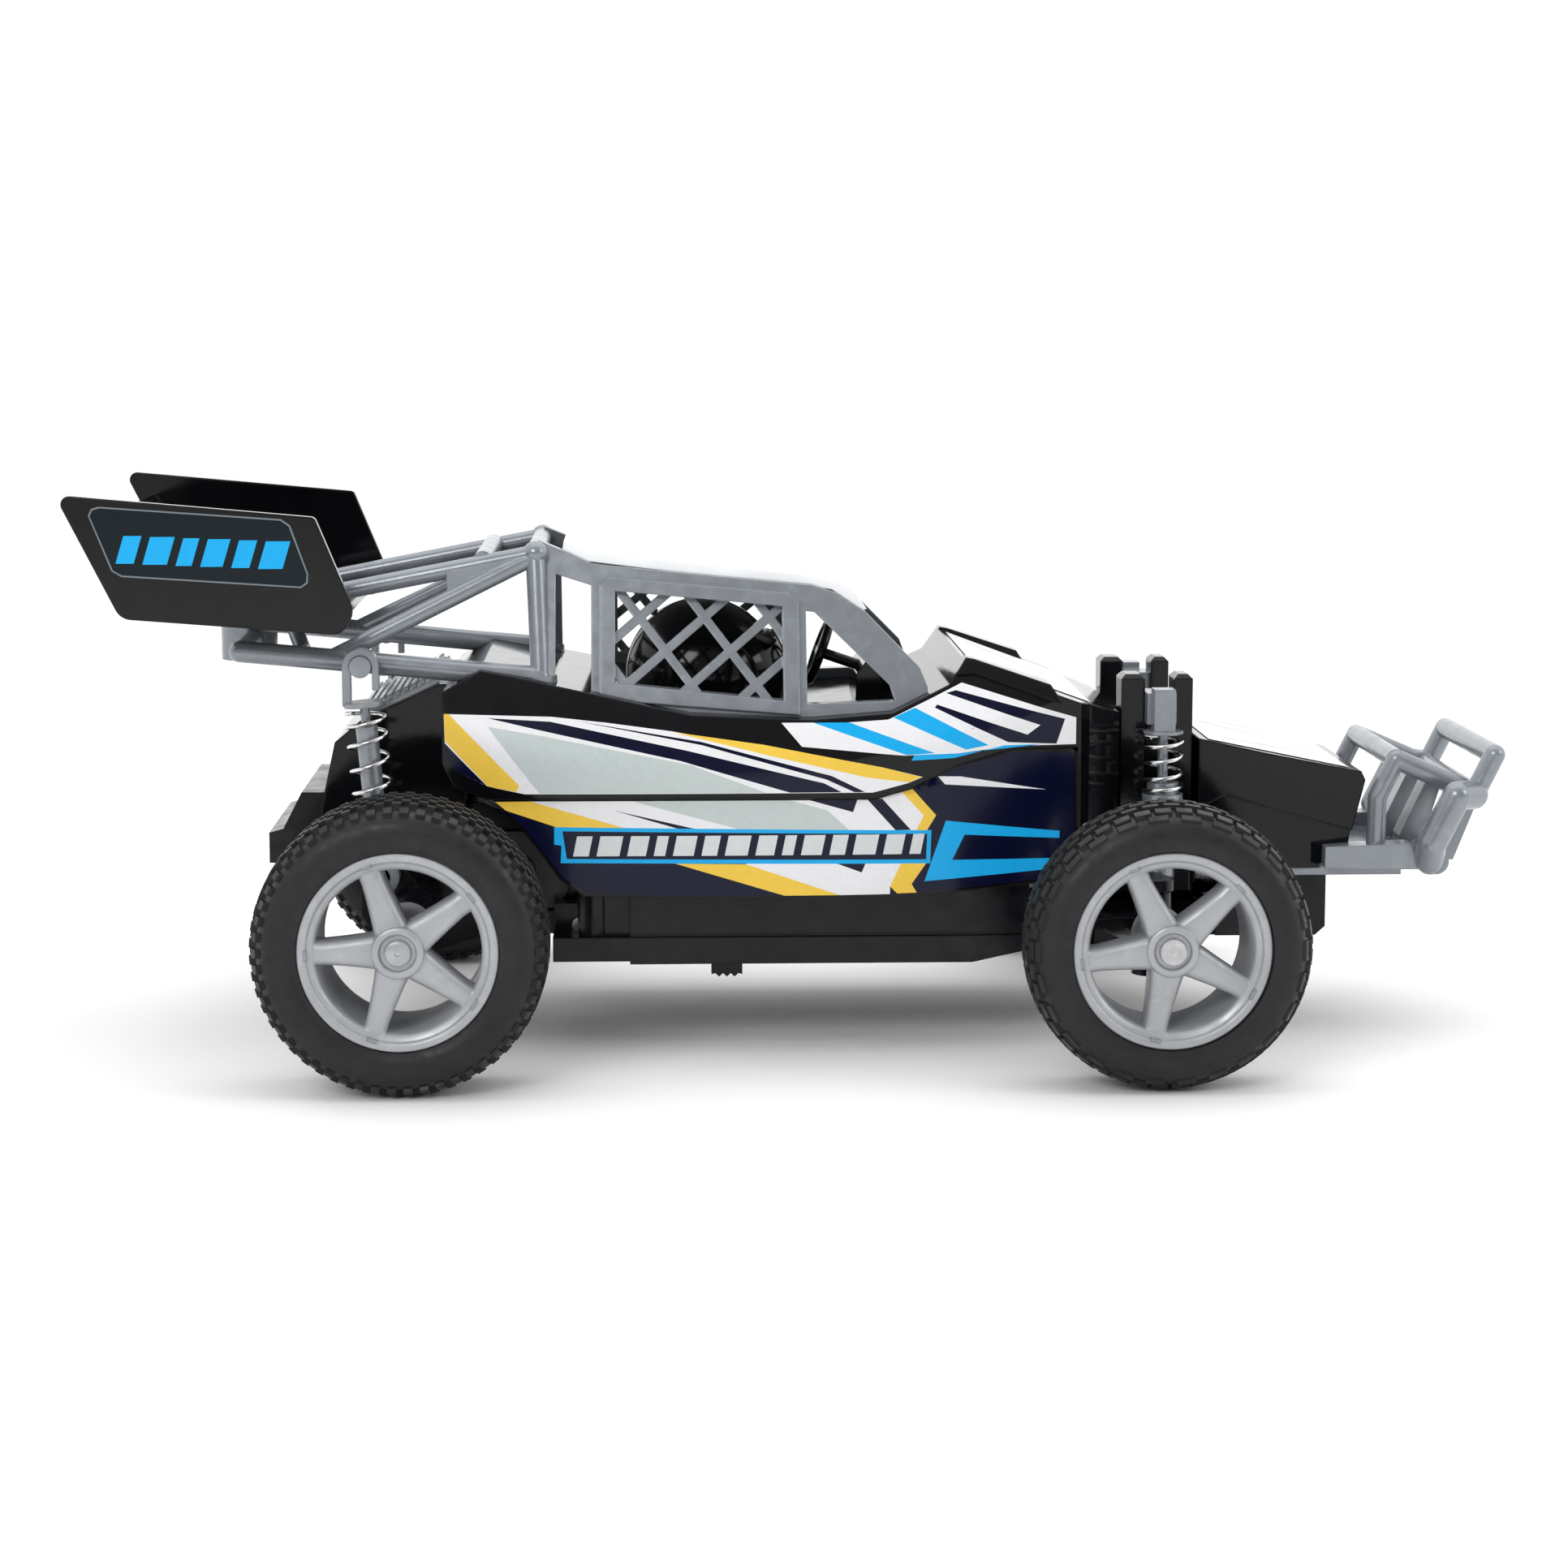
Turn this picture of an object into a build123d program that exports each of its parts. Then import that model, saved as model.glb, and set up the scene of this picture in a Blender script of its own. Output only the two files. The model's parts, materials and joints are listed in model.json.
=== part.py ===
from build123d import *

import os
from functools import lru_cache
from math import acos, atan2, cos, degrees, hypot, pi, radians, sin, tan

# Remote control desert buggy, a toy about 280 mm long: a sprung, motor-driven rear axle unit,
# sprung and steered front wheels, a roll cage, a rear wing and a front bull bar.
#
# Frame, in millimetres: +X is forward, +Y is the car's left, +Z is up. The origin is on the
# ground, under the middle of the car's overall length. A right-hand piece lies at -Y and its
# left-hand twin is its mirror image.

# ---- driving dimensions -------------------------------------------------------------------
REAR_AXLE = (-76.0, 27.6)  # x, z; z is also the rear tyre's radius
FRONT_AXLE = (66.0, 26.9)
WHEEL_FACE = 78.0  # |y| of the outer face of all four wheels
REAR_TYRE_W = 23.0
FRONT_TYRE_W = 19.0
RIM_R = 18.5
RIM_SEAT_R = 16.9
RIM_BORE_R = 14.6
AXLE_R = 1.5
RUNNING = 0.06  # radial clearance of a shaft that turns in a bore
GAP = 0.3  # clearance between pieces that pass each other

WALL = 1.6
TUB_HALF_W = 34.0
TUB_FLOOR = (17.0, 18.8)
TUB_TOP = 34.0
KEEL_HALF_W = 17.0
KEEL_FLOOR = (18.6, 20.0)

SWING_PIVOT = (-44.0, 23.0)  # x, z of the hinge that carries the rear unit
ARM_PIVOT = (12.0, 23.0)  # |y|, z of the front arms' hinges
KINGPIN = (66.0, 50.0)  # x, |y| of the steering pivots
STEER_ARM = 12.0  # from a steering pivot to the track rod's pins
HORN_X = KINGPIN[0] - 2 * STEER_ARM
SHOCK_X = 71.0
SHOCK_Y = -26.0
REAR_SHOCK_Y = -35.0
SHOCK_EYE = (-85.3, 75.8)  # x, z of the pin on the rack
SHOCK_FOOT = (-82.0, 35.0)  # x, z of the pin on the rear unit
SPRING_R = 3.75
SPRING_WIRE_R = 0.35

MODULE = 0.5
AXLE_TEETH = 36
IDLER_TEETH = (12, 36)
PINION_TEETH = 10
IDLER = (-66.75, 35.35)
MOTOR = (-55.4, 33.3)
MOTOR_R = 10.0
MOTOR_FLAT = 7.7
GEAR_Y = (8.0, 11.0)  # the axle gear and the small idler gear
DRIVE_Y = (12.0, 15.0)  # the large idler gear and the pinion

CAGE_FOOT = (-34.0, 66.0)  # y, z of the cage side's outer face at the sill
CAGE_LEAN = tan(radians(20.0))
CAGE_THICK = 3.2
RACK_Y = -30.0
RACK_R = 2.1
WING_HALF_W = 45.0
CELL_R = 7.25
CELL_Y = CELL_R + 0.15
CELL_Z = 26.3
CELL_X = (-26.6, 23.6)
BAY = ((-28.0, 25.0), (-16.2, 16.2), (TUB_FLOOR[0], 34.0))
SWITCH_SLOT = ((-22.0, -7.6), (-26.5, -21.5))  # x, y of the slot that the thumb switch slides in
LEVER_Z = (27.0, 29.0)  # the steering knuckles' levers


# ---- helpers ------------------------------------------------------------------------------
def prism(points, axis, low, high):
    """An outline given in the two axes other than `axis`, in X, Y, Z order, from low to high."""
    place = {
        "X": lambda p: (low, p[0], p[1]),
        "Y": lambda p: (p[0], low, p[1]),
        "Z": lambda p: (p[0], p[1], low),
    }[axis]
    along = {"X": (1, 0, 0), "Y": (0, 1, 0), "Z": (0, 0, 1)}[axis]
    outline = Polyline([place(p) for p in points], close=True)
    return extrude(make_face(outline), amount=high - low, dir=along)


def block(x, y, z):
    """A box between the pairs x, y and z."""
    size = [high - low for low, high in (x, y, z)]
    return Pos(*[(low + high) / 2 for low, high in (x, y, z)]) * Box(*size)


def rod(start, end, radius):
    """A round bar between two points."""
    run = Vector(*end) - Vector(*start)
    base = (Align.CENTER, Align.CENTER, Align.MIN)
    return Plane(origin=start, z_dir=run) * Cylinder(radius, run.length, align=base)


def pin_x(y, z, radius, low, high):
    """A cylinder along X."""
    return rod((low, y, z), (high, y, z), radius)


def pin_y(x, z, radius, low, high):
    """A cylinder along Y."""
    return rod((x, low, z), (x, high, z), radius)


def pin_z(x, y, radius, low, high):
    """A cylinder along Z."""
    return rod((x, y, low), (x, y, high), radius)


def ring_y(centre, outer_r, inner_r, low, high):
    """A flat ring whose axis is along Y."""
    return pin_y(*centre, outer_r, low, high) - pin_y(*centre, inner_r, low - 1, high + 1)


def fuse(shapes):
    """All the shapes as one."""
    whole = shapes[0]
    for shape in shapes[1:]:
        whole = whole + shape
    return whole


def tube_path(points, radius):
    """Round bars through the points, with a ball at each."""
    bars = [rod(start, end, radius) for start, end in zip(points, points[1:])]
    return fuse(bars + [Pos(*point) * Sphere(radius) for point in points])


def left_of(shape):
    """The left-hand twin of a right-hand piece."""
    return mirror(shape, about=Plane.XZ)


def both_sides(shape):
    """A right-hand shape and its left-hand twin as one."""
    return shape + left_of(shape)


def group(shapes):
    """Separate solids in one node."""
    return Compound(children=[solid for shape in shapes for solid in shape.solids()])


def main_solid(shape):
    """The largest solid, without the crumbs that a cut leaves."""
    return max(shape.solids(), key=lambda solid: solid.volume)


def symmetric(pairs):
    """A closed outline from (along, half width) pairs."""
    return [(a, -w) for a, w in pairs] + [(a, w) for a, w in reversed(pairs)]


def spring(axis, low, high, turns):
    """An open compression spring about `axis`, between two distances along it."""
    height = high - low - 2 * SPRING_WIRE_R
    coil = Helix(pitch=height / turns, height=height, radius=SPRING_R)
    wire = sweep(Plane(origin=coil @ 0, z_dir=coil % 0) * Circle(SPRING_WIRE_R), path=coil)
    return axis * Pos(0, 0, low + SPRING_WIRE_R) * wire


# ---- body shell ---------------------------------------------------------------------------
BODY_SIDE = [  # x, z above the crease that runs along each side
    (-69.8, 57.0), (-67.6, 52.6), (-61.2, 50.4), (13.6, 50.3), (19.9, 51.8), (29.3, 56.4),
    (40.2, 59.5), (53.0, 59.5), (53.0, 44.0), (62.8, 44.0), (62.8, 64.8), (57.0, 66.9),
    (31.0, 76.4), (27.9, 71.8), (17.0, 66.6), (1.3, 65.4), (-22.0, 66.4), (-53.3, 73.0),
    (-62.5, 74.7), (-69.8, 70.8),
]  # fmt: skip
SILL_SIDE = [  # x, z below the crease
    (-61.2, 51.4), (-55.0, 45.0), (-47.4, 34.7), (-42.7, 31.5), (-30.0, 31.0), (1.0, 30.7),
    (21.6, 31.0), (48.3, 33.3), (53.6, 34.6), (53.6, 57.8), (52.0, 59.6), (40.2, 59.6),
    (29.3, 57.4), (19.9, 53.0), (13.6, 51.4),
]  # fmt: skip
BODY_PLAN = [  # x, half width
    (-69.8, 37.2), (-66.0, 38.5), (-60.0, 39.5), (-45.0, 40.1), (-20.0, 40.3), (0.0, 40.2), (15.0, 39.8),
    (28.0, 39.0), (40.0, 37.8), (48.0, 36.7), (53.6, 35.4), (56.0, 29.0), (62.8, 22.8),
]  # fmt: skip
BODY_SECTION = [  # half width, z
    (39.9, 28.0), (39.9, 50.3), (40.4, 51.0), (40.3, 55.0), (39.8, 59.0), (38.8, 63.0), (37.4, 67.0),
    (35.6, 71.0), (33.6, 75.0), (31.5, 79.0),
]  # fmt: skip
CREASE_STEP = 0.8  # how far the sill lies inside the upper side
NECK_HALF_W = 12.2
NOSE_SIDE = [
    (60.0, 44.0), (60.0, 65.8), (77.9, 59.8), (111.7, 52.4), (112.6, 50.6), (110.0, 40.6),
    (84.0, 48.4), (79.4, 46.0), (72.0, 44.0),
]  # fmt: skip
CHIN_SIDE = [(78.5, 33.4), (78.5, 47.0), (84.0, 49.0), (110.0, 41.2), (109.2, 35.7), (104.1, 33.1)]
NOSE_PLAN = [(60.0, 12.2), (78.4, 12.2), (78.5, 24.0), (92.0, 24.4), (113.4, 19.6)]
TAIL_SIDE = [
    (-66.0, 40.0), (-66.0, 71.0), (-71.0, 71.0), (-86.6, 63.8), (-91.6, 59.6), (-94.4, 47.0),
    (-95.4, 39.0), (-88.0, 38.4), (-80.0, 40.0),
]  # fmt: skip
TAIL_HALF_W = 23.4
HOOD_LIP = [(29.3, 73.8), (31.3, 76.9), (33.0, 76.6), (47.6, 71.8), (49.8, 68.4), (46.8, 69.2), (33.2, 74.0)]
EAR_SCREW = (-41.0, -29.0)  # x, y of the right-hand rear body screw
FRONT_SCREW = (30.0, -26.0)
SCREWS = (EAR_SCREW, FRONT_SCREW)
SCREW_R = 1.25
POST_R = 3.2
DRIVER_X = -19.3


def side_prism(points, half_w, inset=0.0):
    """A side profile moved inwards by `inset`, as a prism across the car."""
    face = make_face(Polyline([(x, -half_w, z) for x, z in points], close=True))
    if inset:
        face = offset(face, amount=-inset, kind=Kind.INTERSECTION)
    return extrude(face, amount=2 * half_w, dir=(0, 1, 0))


def plan_prism(pairs, inset=0.0):
    """A plan of (x, half width) pairs moved inwards by `inset`, as an upright prism."""
    return prism(symmetric([(x, w - inset) for x, w in pairs]), "Z", 20.0, 90.0)


def section_prism(inset=0.0):
    """The cockpit body's cross-section as a prism along the car."""
    right = [(inset - w, z) for w, z in BODY_SECTION]
    left = [(w - inset, z) for w, z in reversed(BODY_SECTION)]
    return prism(right + left, "X", -75.0, 65.0)


@lru_cache
def body_outer():
    """The outside of the whole shell, as one solid."""
    cabin = side_prism(BODY_SIDE, 60) & plan_prism(BODY_PLAN) & section_prism()
    sill = side_prism(SILL_SIDE, 60) & plan_prism(BODY_PLAN, CREASE_STEP) & section_prism()
    nose = side_prism(NOSE_SIDE, 60) & plan_prism(NOSE_PLAN)
    chin = side_prism(CHIN_SIDE, 60) & plan_prism(NOSE_PLAN, 1.4)
    tail = side_prism(TAIL_SIDE, TAIL_HALF_W)
    return cabin + sill + nose + chin + tail


def body_hollows():
    """The spaces inside the shell, which open downwards."""
    cabin_in = [
        (-68.2, 56.0), (-64.0, 52.2), (-58.6, 50.2), (-53.0, 43.4), (-45.6, 20.0), (50.0, 20.0),
        (52.0, 42.0), (61.2, 45.6), (61.2, 63.6), (56.0, 65.5), (31.6, 74.4), (29.0, 70.4), (17.6, 65.0),
        (1.4, 63.8), (-22.2, 64.8), (-53.6, 71.4), (-62.2, 73.1), (-68.2, 69.9),
    ]  # fmt: skip
    cabin = side_prism(cabin_in, 60) & plan_prism(BODY_PLAN, WALL + CREASE_STEP) & section_prism(WALL + 0.6)
    neck = prism([(50.0, 30.0), (50.0, 60.0), (58.0, 63.0), (77.0, 58.6), (82.0, 57.0), (82.0, 30.0)],
                 "Y", WALL - NECK_HALF_W, NECK_HALF_W - WALL)  # fmt: skip
    nose_in = [(80.1, 20.0), (80.1, 57.6), (109.6, 51.2), (108.4, 42.0), (107.4, 36.6), (103.4, 20.0)]
    nose = side_prism(nose_in, 60) & plan_prism(NOSE_PLAN, WALL + 1.4)
    tail_in = [
        (-50.0, 30.0), (-50.0, 66.0), (-66.0, 69.4), (-70.8, 69.4), (-85.8, 62.4), (-90.2, 58.8),
        (-92.8, 46.6), (-93.8, 38.0), (-93.8, 30.0),
    ]  # fmt: skip
    tail = side_prism(tail_in, TAIL_HALF_W - WALL)
    return [cabin, neck, nose, tail]


def body_shell():
    """The black moulded body: cabin sides and deck, nose and engine cover."""
    shell = body_outer()
    for hollow in body_hollows():
        shell = shell - hollow
    shell = shell - Pos(DRIVER_X, 0, 66.0) * extrude(RectangleRounded(26.0, 24.0, 8.0), 9.0, both=True)
    for x, y in SCREWS:
        shell = shell + both_sides(pin_z(x, y, POST_R, TUB_TOP + 2.4, 68.6))
        shell = shell - both_sides(pin_z(x, y, SCREW_R, TUB_TOP, 46.0))
    lip = side_prism(HOOD_LIP, 60) & plan_prism(BODY_PLAN, -0.8) & section_prism(-0.8)
    return main_solid(shell + (lip - block((20.0, 60.0), (-29.0, 29.0), (60.0, 90.0))))


def rear_grille():
    """The ribbed cover plate on the slope behind the cabin."""
    start, end = (-71.2, 71.2), (-86.4, 64.2)
    run = hypot(end[0] - start[0], end[1] - start[1])
    along = ((end[0] - start[0]) / run, (end[1] - start[1]) / run)
    up = (along[1], -along[0])

    def slab(first, last, low, high, half_w):
        corners = [(first, low), (first, high), (last, high), (last, low)]
        points = [(start[0] + s * along[0] + h * up[0], start[1] + s * along[1] + h * up[1]) for s, h in corners]
        return prism(points, "Y", -half_w, half_w)

    ribs = [slab(0.8 + 1.75 * k, 1.7 + 1.75 * k, 0.7, 1.9, 21.0) for k in range(9)]
    plate = slab(0.0, run, -1.0, 0.9, 21.8)
    return main_solid(fuse([plate] + ribs) - body_outer())


def rear_bumper():
    """The small bumper below the tail: a black pad with a slanted top."""
    pad = [
        (-94.0, 37.0), (-94.0, 49.4), (-98.5, 49.4), (-102.2, 42.2), (-105.0, 41.4), (-105.0, 35.4), (-97.0, 35.4),
    ]  # fmt: skip
    return main_solid(prism(pad, "Y", -21.0, 21.0) - body_outer())


# ---- chassis ------------------------------------------------------------------------------
def chassis_tub():
    """The lower tray with the battery bay, the rear ears, the front keel and the hinge lugs."""
    tray = [(-34.0, 17.0), (33.0, 17.0), (38.0, 18.1), (44.0, 19.4), (44.0, 34.0), (-34.0, 34.0)]
    room = [(-32.2, 18.8), (33.0, 18.8), (38.0, 19.9), (42.2, 21.0), (42.2, 40.0), (-32.2, 40.0)]
    tub = prism(tray, "Y", -TUB_HALF_W, TUB_HALF_W) - prism(room, "Y", 1.8 - TUB_HALF_W, TUB_HALF_W - 1.8)
    bay_x, bay_y, bay_z = BAY
    bay = block((bay_x[0] - 1.5, bay_x[1] + 1.5), (bay_y[0] - 1.5, bay_y[1] + 1.5), (18.0, bay_z[1] + 1.5))
    tub = tub + bay + pin_z(28.8, 0, POST_R, 18.8, 27.4)
    ear = block((-49.0, -33.9), (-TUB_HALF_W, -19.2), (17.6, 22.3))
    lug = block((-49.0, -40.0), (-23.6, -19.2), (17.6, 27.4))
    shield = block((-39.0, -33.9), (-31.4, -29.4), (17.6, TUB_TOP))
    posts = [pin_z(x, y, POST_R, 18.0, TUB_TOP + 2.2) for x, y in SCREWS]
    tub = tub + both_sides(fuse([ear, lug, shield] + posts))
    keel = [(40.0, 18.6), (57.0, 18.6), (57.0, 20.0), (40.0, 20.0)]
    tub = tub + prism(keel, "Y", -KEEL_HALF_W, KEEL_HALF_W)
    tub = tub + block((56.0, 84.5), (-8.6, 8.6), KEEL_FLOOR)
    chin = [(83.4, 18.8), (103.6, 18.8), (105.6, 20.6), (105.6, 31.4), (83.4, 31.4)]
    chin_room = [(85.2, 20.4), (103.0, 20.4), (104.0, 21.4), (104.0, 40.0), (85.2, 40.0)]
    tub = tub + (prism(chin, "Y", -KEEL_HALF_W, KEEL_HALF_W) - prism(chin_room, "Y", -15.4, 15.4))
    for low, high in ((56.0, 58.0), (82.0, 84.0)):
        tub = tub + both_sides(block((low, high), (-15.0, -8.4), (KEEL_FLOOR[0], 26.2)))
    # cuts: battery bay, door tab and its screw, body screws, switch slot, steering and hinge pins
    tub = tub - block(*BAY) - block((24.0, 32.4), (-5.0, 5.0), (TUB_FLOOR[0] - 1, 18.7))
    tub = tub - pin_z(28.8, 0, 1.1 + RUNNING, 18.0, 26.4)
    for x, y in SCREWS:
        tub = tub - both_sides(pin_z(x, y, SCREW_R, 15.0, 40.0) + pin_z(x, y, 2.7, 15.0, 18.8))
    tub = tub - block(*SWITCH_SLOT, (15.0, 19.0))
    tub = tub - block((40.0, 46.0), (-14.0, 14.0), (20.6, 27.6)) - block((25.0, 46.0), (-8.4, 8.4), (27.6, 40.0))
    tub = tub - both_sides(block((-60.0, 60.0), (-36.0, 0.6 - TUB_HALF_W), (22.3, 22.9)))
    tub = tub - pin_y(*SWING_PIVOT, AXLE_R, -30.0, 30.0)
    for y in (-ARM_PIVOT[0], ARM_PIVOT[0]):
        tub = tub - pin_x(y, ARM_PIVOT[1], AXLE_R - 0.25, 50.0, 90.0)
    return main_solid(tub)


def front_bulkhead():
    """The black block over the keel, with the four prongs that hold the front shocks."""
    core = block((60.0, 80.0), (-8.6, 8.6), (KEEL_FLOOR[1], 29.0)) + block((60.0, 80.0), (-12.0, 12.0), (28.6, 43.6))
    web = block((63.4, 77.6), (-14.6, -12.0), (28.6, 52.0))
    prongs = [block(span, (-20.4, -12.7), (28.6, 72.0)) for span in ((63.4, 68.1), (73.9, 77.6))]
    right = web + fuse(prongs)
    right = chamfer(right.faces().sort_by(Axis.Z)[-2:].edges(), 0.9)
    return main_solid(core + both_sides(right) - body_outer())


def arm_hinge_pins():
    """The two long pins on which the front arms swing."""
    return group([pin_x(y, ARM_PIVOT[1], AXLE_R - 0.25, 56.0, 84.0) for y in (-ARM_PIVOT[0], ARM_PIVOT[0])])


def swing_pivot_pin():
    """The pin on which the rear unit swings."""
    return pin_y(*SWING_PIVOT, AXLE_R, -23.6, 23.6)


def battery_door():
    """The flush door under the battery bay, with a tab for its screw."""
    (x, y, _) = BAY
    door = block((x[0] + GAP, x[1] - GAP), (y[0] + GAP, y[1] - GAP), TUB_FLOOR)
    tab = block((24.0, 32.1), (-4.7, 4.7), (TUB_FLOOR[0], 18.4))
    door = door + tab - pin_z(28.8, 0, 1.1, 10.0, 20.0) - pin_z(28.8, 0, 2.4, 16.0, 17.7)
    grooves = [block((-23.0 + 3 * k, -21.6 + 3 * k), (-8.0, 8.0), (16.0, 17.5)) for k in range(4)]
    return main_solid(door - fuse(grooves))


def cross_head_screw(x, y, z, head_r, shank_r, length):
    """A screw whose head looks down from z, with a cross recess."""
    screw = pin_z(x, y, head_r, z, z + 0.7) + pin_z(x, y, shank_r, z, z + length)
    slots = block((x - 1.2, x + 1.2), (y - 0.3, y + 0.3), (z - 1, z + 0.45))
    slots = slots + block((x - 0.3, x + 0.3), (y - 1.2, y + 1.2), (z - 1, z + 0.45))
    return screw - slots


def body_screws():
    """The four screws that hold the body to the tub, and the wing's two screws."""
    lower = [cross_head_screw(x, s * y, 18.1, 2.6, SCREW_R, 24.0) for x, y in SCREWS for s in (1, -1)]
    wing = [pin_y(-101.6, 83.0, 1.9, s * 6.2 - 0.8, s * 6.2 + 0.8) for s in (-1, 1)]
    return group(lower + wing)


def battery_cells():
    """Two rechargeable cells side by side."""
    cells = []
    for y in (-CELL_Y, CELL_Y):
        body = pin_x(y, CELL_Z, CELL_R, CELL_X[0], CELL_X[1] - 1.2)
        cells.append(body + pin_x(y, CELL_Z, 2.6, CELL_X[1] - 1.2, CELL_X[1]))
    return group(cells)


def battery_contacts():
    """The contact plates at the ends of the bay, with a bump that meets each cell."""
    rear_x, front_x = BAY[0]
    plates = []
    for y in (-CELL_Y, CELL_Y):
        face = ((y - 4.0, y + 4.0), (22.0, 31.0))
        plates.append(block((rear_x, rear_x + 0.5), *face) + pin_x(y, CELL_Z, 2.4, rear_x + 0.2, CELL_X[0]))
        plates.append(block((front_x - 0.5, front_x), *face) + pin_x(y, CELL_Z, 2.4, CELL_X[1], front_x - 0.2))
    return group(plates)


def circuit_board():
    """The receiver board over the bay, with its chips, and the switch's housing on the tub floor."""
    board = block((-26.0, 24.0), (-15.0, 15.0), (38.4, 40.0))
    feet = [pin_z(x, y, 1.8, 35.5, 38.4) for x in (-23.0, 21.0) for y in (-12.0, 12.0)]
    chips = [block((-6.0, 6.0), (-4.0, 4.0), (40.0, 41.6)), block((10.0, 16.0), (-9.0, -3.0), (40.0, 41.8))]
    coils = [pin_z(x, y, 2.5, 40.0, 46.0) for x, y in ((-18.0, -8.0), (-18.0, 8.0), (14.0, 8.0))]
    housing = block((-24.0, -6.0), (-28.4, -19.6), (18.8, 26.0)) - block(*SWITCH_SLOT, (18.0, 21.6))
    return group([fuse([board] + feet + chips + coils), housing])


def switch_knob():
    """The on-off slider under the tub, with a toothed thumb face."""
    rear_x, front_x = -18.0, -11.9
    pitch = (front_x - rear_x) / 8
    saw = [(rear_x + pitch * k, 12.9 + 0.7 * (k % 2)) for k in range(1, 8)]
    outline = [(rear_x, 16.6), (rear_x, 13.4)] + saw + [(front_x, 13.4), (front_x, 16.6)]
    return main_solid(prism(outline, "Y", -26.1, -21.9) + block((-17.0, -13.0), (-25.5, -22.5), (16.0, 21.2)))


# ---- steering -----------------------------------------------------------------------------
def steering_servo():
    """The steering motor's case, standing on the tub's front walls."""
    case = block((30.0, 50.0), (-8.0, 8.0), (28.4, 42.0)) + block((31.0, 47.0), (-13.0, 13.0), (34.1, 35.6))
    spindle = pin_z(HORN_X, 0, AXLE_R, 23.6, 29.0)
    gear_top = pin_z(HORN_X, 0, 5.0, 27.9, 29.0)
    return main_solid(case + spindle + gear_top)


def servo_horn():
    """The lever on the servo's spindle, with a slot for the track rod's middle pin."""
    lever = pin_z(HORN_X, 0, 3.8, 24.4, 26.4) + block((HORN_X, HORN_X + 15.6), (-2.9, 2.9), (24.4, 26.4))
    slot = block((HORN_X + 9.9, HORN_X + 20.0), (-1.35, 1.35), (20.0, 30.0))
    return main_solid(lever - slot - pin_z(HORN_X, 0, AXLE_R + RUNNING, 20.0, 30.0))


def tie_rod():
    """The track rod, with three upright pins."""
    x = HORN_X + STEER_ARM
    bar = block((x - 1.4, x + 1.4), (-52.2, 52.2), (21.4, 23.6))
    pins = [pin_z(x, 0, 0.9, 22.0, 28.4)] + [pin_z(x, s * KINGPIN[1], 0.9, 22.0, 34.0) for s in (-1, 1)]
    return fuse([bar] + pins)


def front_arm():
    """The right lower arm: hinge barrel, two legs, shock pad and the fork for the steering pivot."""
    y, z = -ARM_PIVOT[0], ARM_PIVOT[1]
    barrel = pin_x(y, z, 2.6, 58.4, 81.6)
    legs = [
        (58.6, y), (58.6, y - 4.0), (63.5, -42.0), (63.5, -47.0), (70.5, -47.0), (74.0, -36.0),
        (81.4, y - 6.0), (81.4, y),
    ]  # fmt: skip
    plate = prism(legs, "Z", 21.4, 24.6)
    plate = plate - prism([(62.6, -18.0), (66.4, -36.0), (69.0, -36.0), (75.0, -18.0)], "Z", 20.0, 23.0)
    kx, ky = KINGPIN[0], -KINGPIN[1]
    ears = [pin_z(kx, ky, 4.0, *span) + block((63.5, 68.5), (ky, -44.0), span) for span in ((17.8, 20.0), (34.0, 36.2))]
    web = block((63.5, 68.5), (-46.0, -43.4), (17.8, 36.2))
    arm = fuse([barrel, plate, web] + ears) - pin_x(y, z, AXLE_R - 0.25 + RUNNING, 50.0, 90.0)
    arm = arm - pin_z(kx, ky, 3.9, 20.0, 34.0) - block((60.0, 72.0), (-60.0, -46.0), (20.0, 34.0))
    return main_solid(arm - pin_z(kx, ky, AXLE_R + RUNNING, 10.0, 40.0))


def front_knuckle():
    """The right steering knuckle: pivot post, axle boss and the arm that the track rod turns."""
    kx, ky = KINGPIN[0], -KINGPIN[1]
    post = pin_z(kx, ky, 3.5, 20.3, 33.7) + pin_z(kx, ky, AXLE_R, 17.8, 36.2)
    boss = pin_y(*FRONT_AXLE, 3.2, ky - 5.4, ky)
    lever = block((kx - 9.0, kx), (ky - 2.6, ky + 2.6), LEVER_Z)
    lever = lever + block((kx - 16.6, kx - 8.6), (ky - 3.7, ky + 3.7), LEVER_Z)
    slot = block((kx - 14.9, kx - 10.0), (ky - 2.2, ky + 2.2), (20.0, 31.0))
    return main_solid(post + boss + lever - slot - pin_y(*FRONT_AXLE, AXLE_R, -90.0, ky + 2.0))


def front_stub_axle():
    """The right steel stub axle, with the head that keeps the wheel on."""
    ky = -KINGPIN[1]
    return pin_y(*FRONT_AXLE, AXLE_R, -76.8, ky + 2.0) + pin_y(*FRONT_AXLE, 2.4, -77.6, -76.8)


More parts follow.
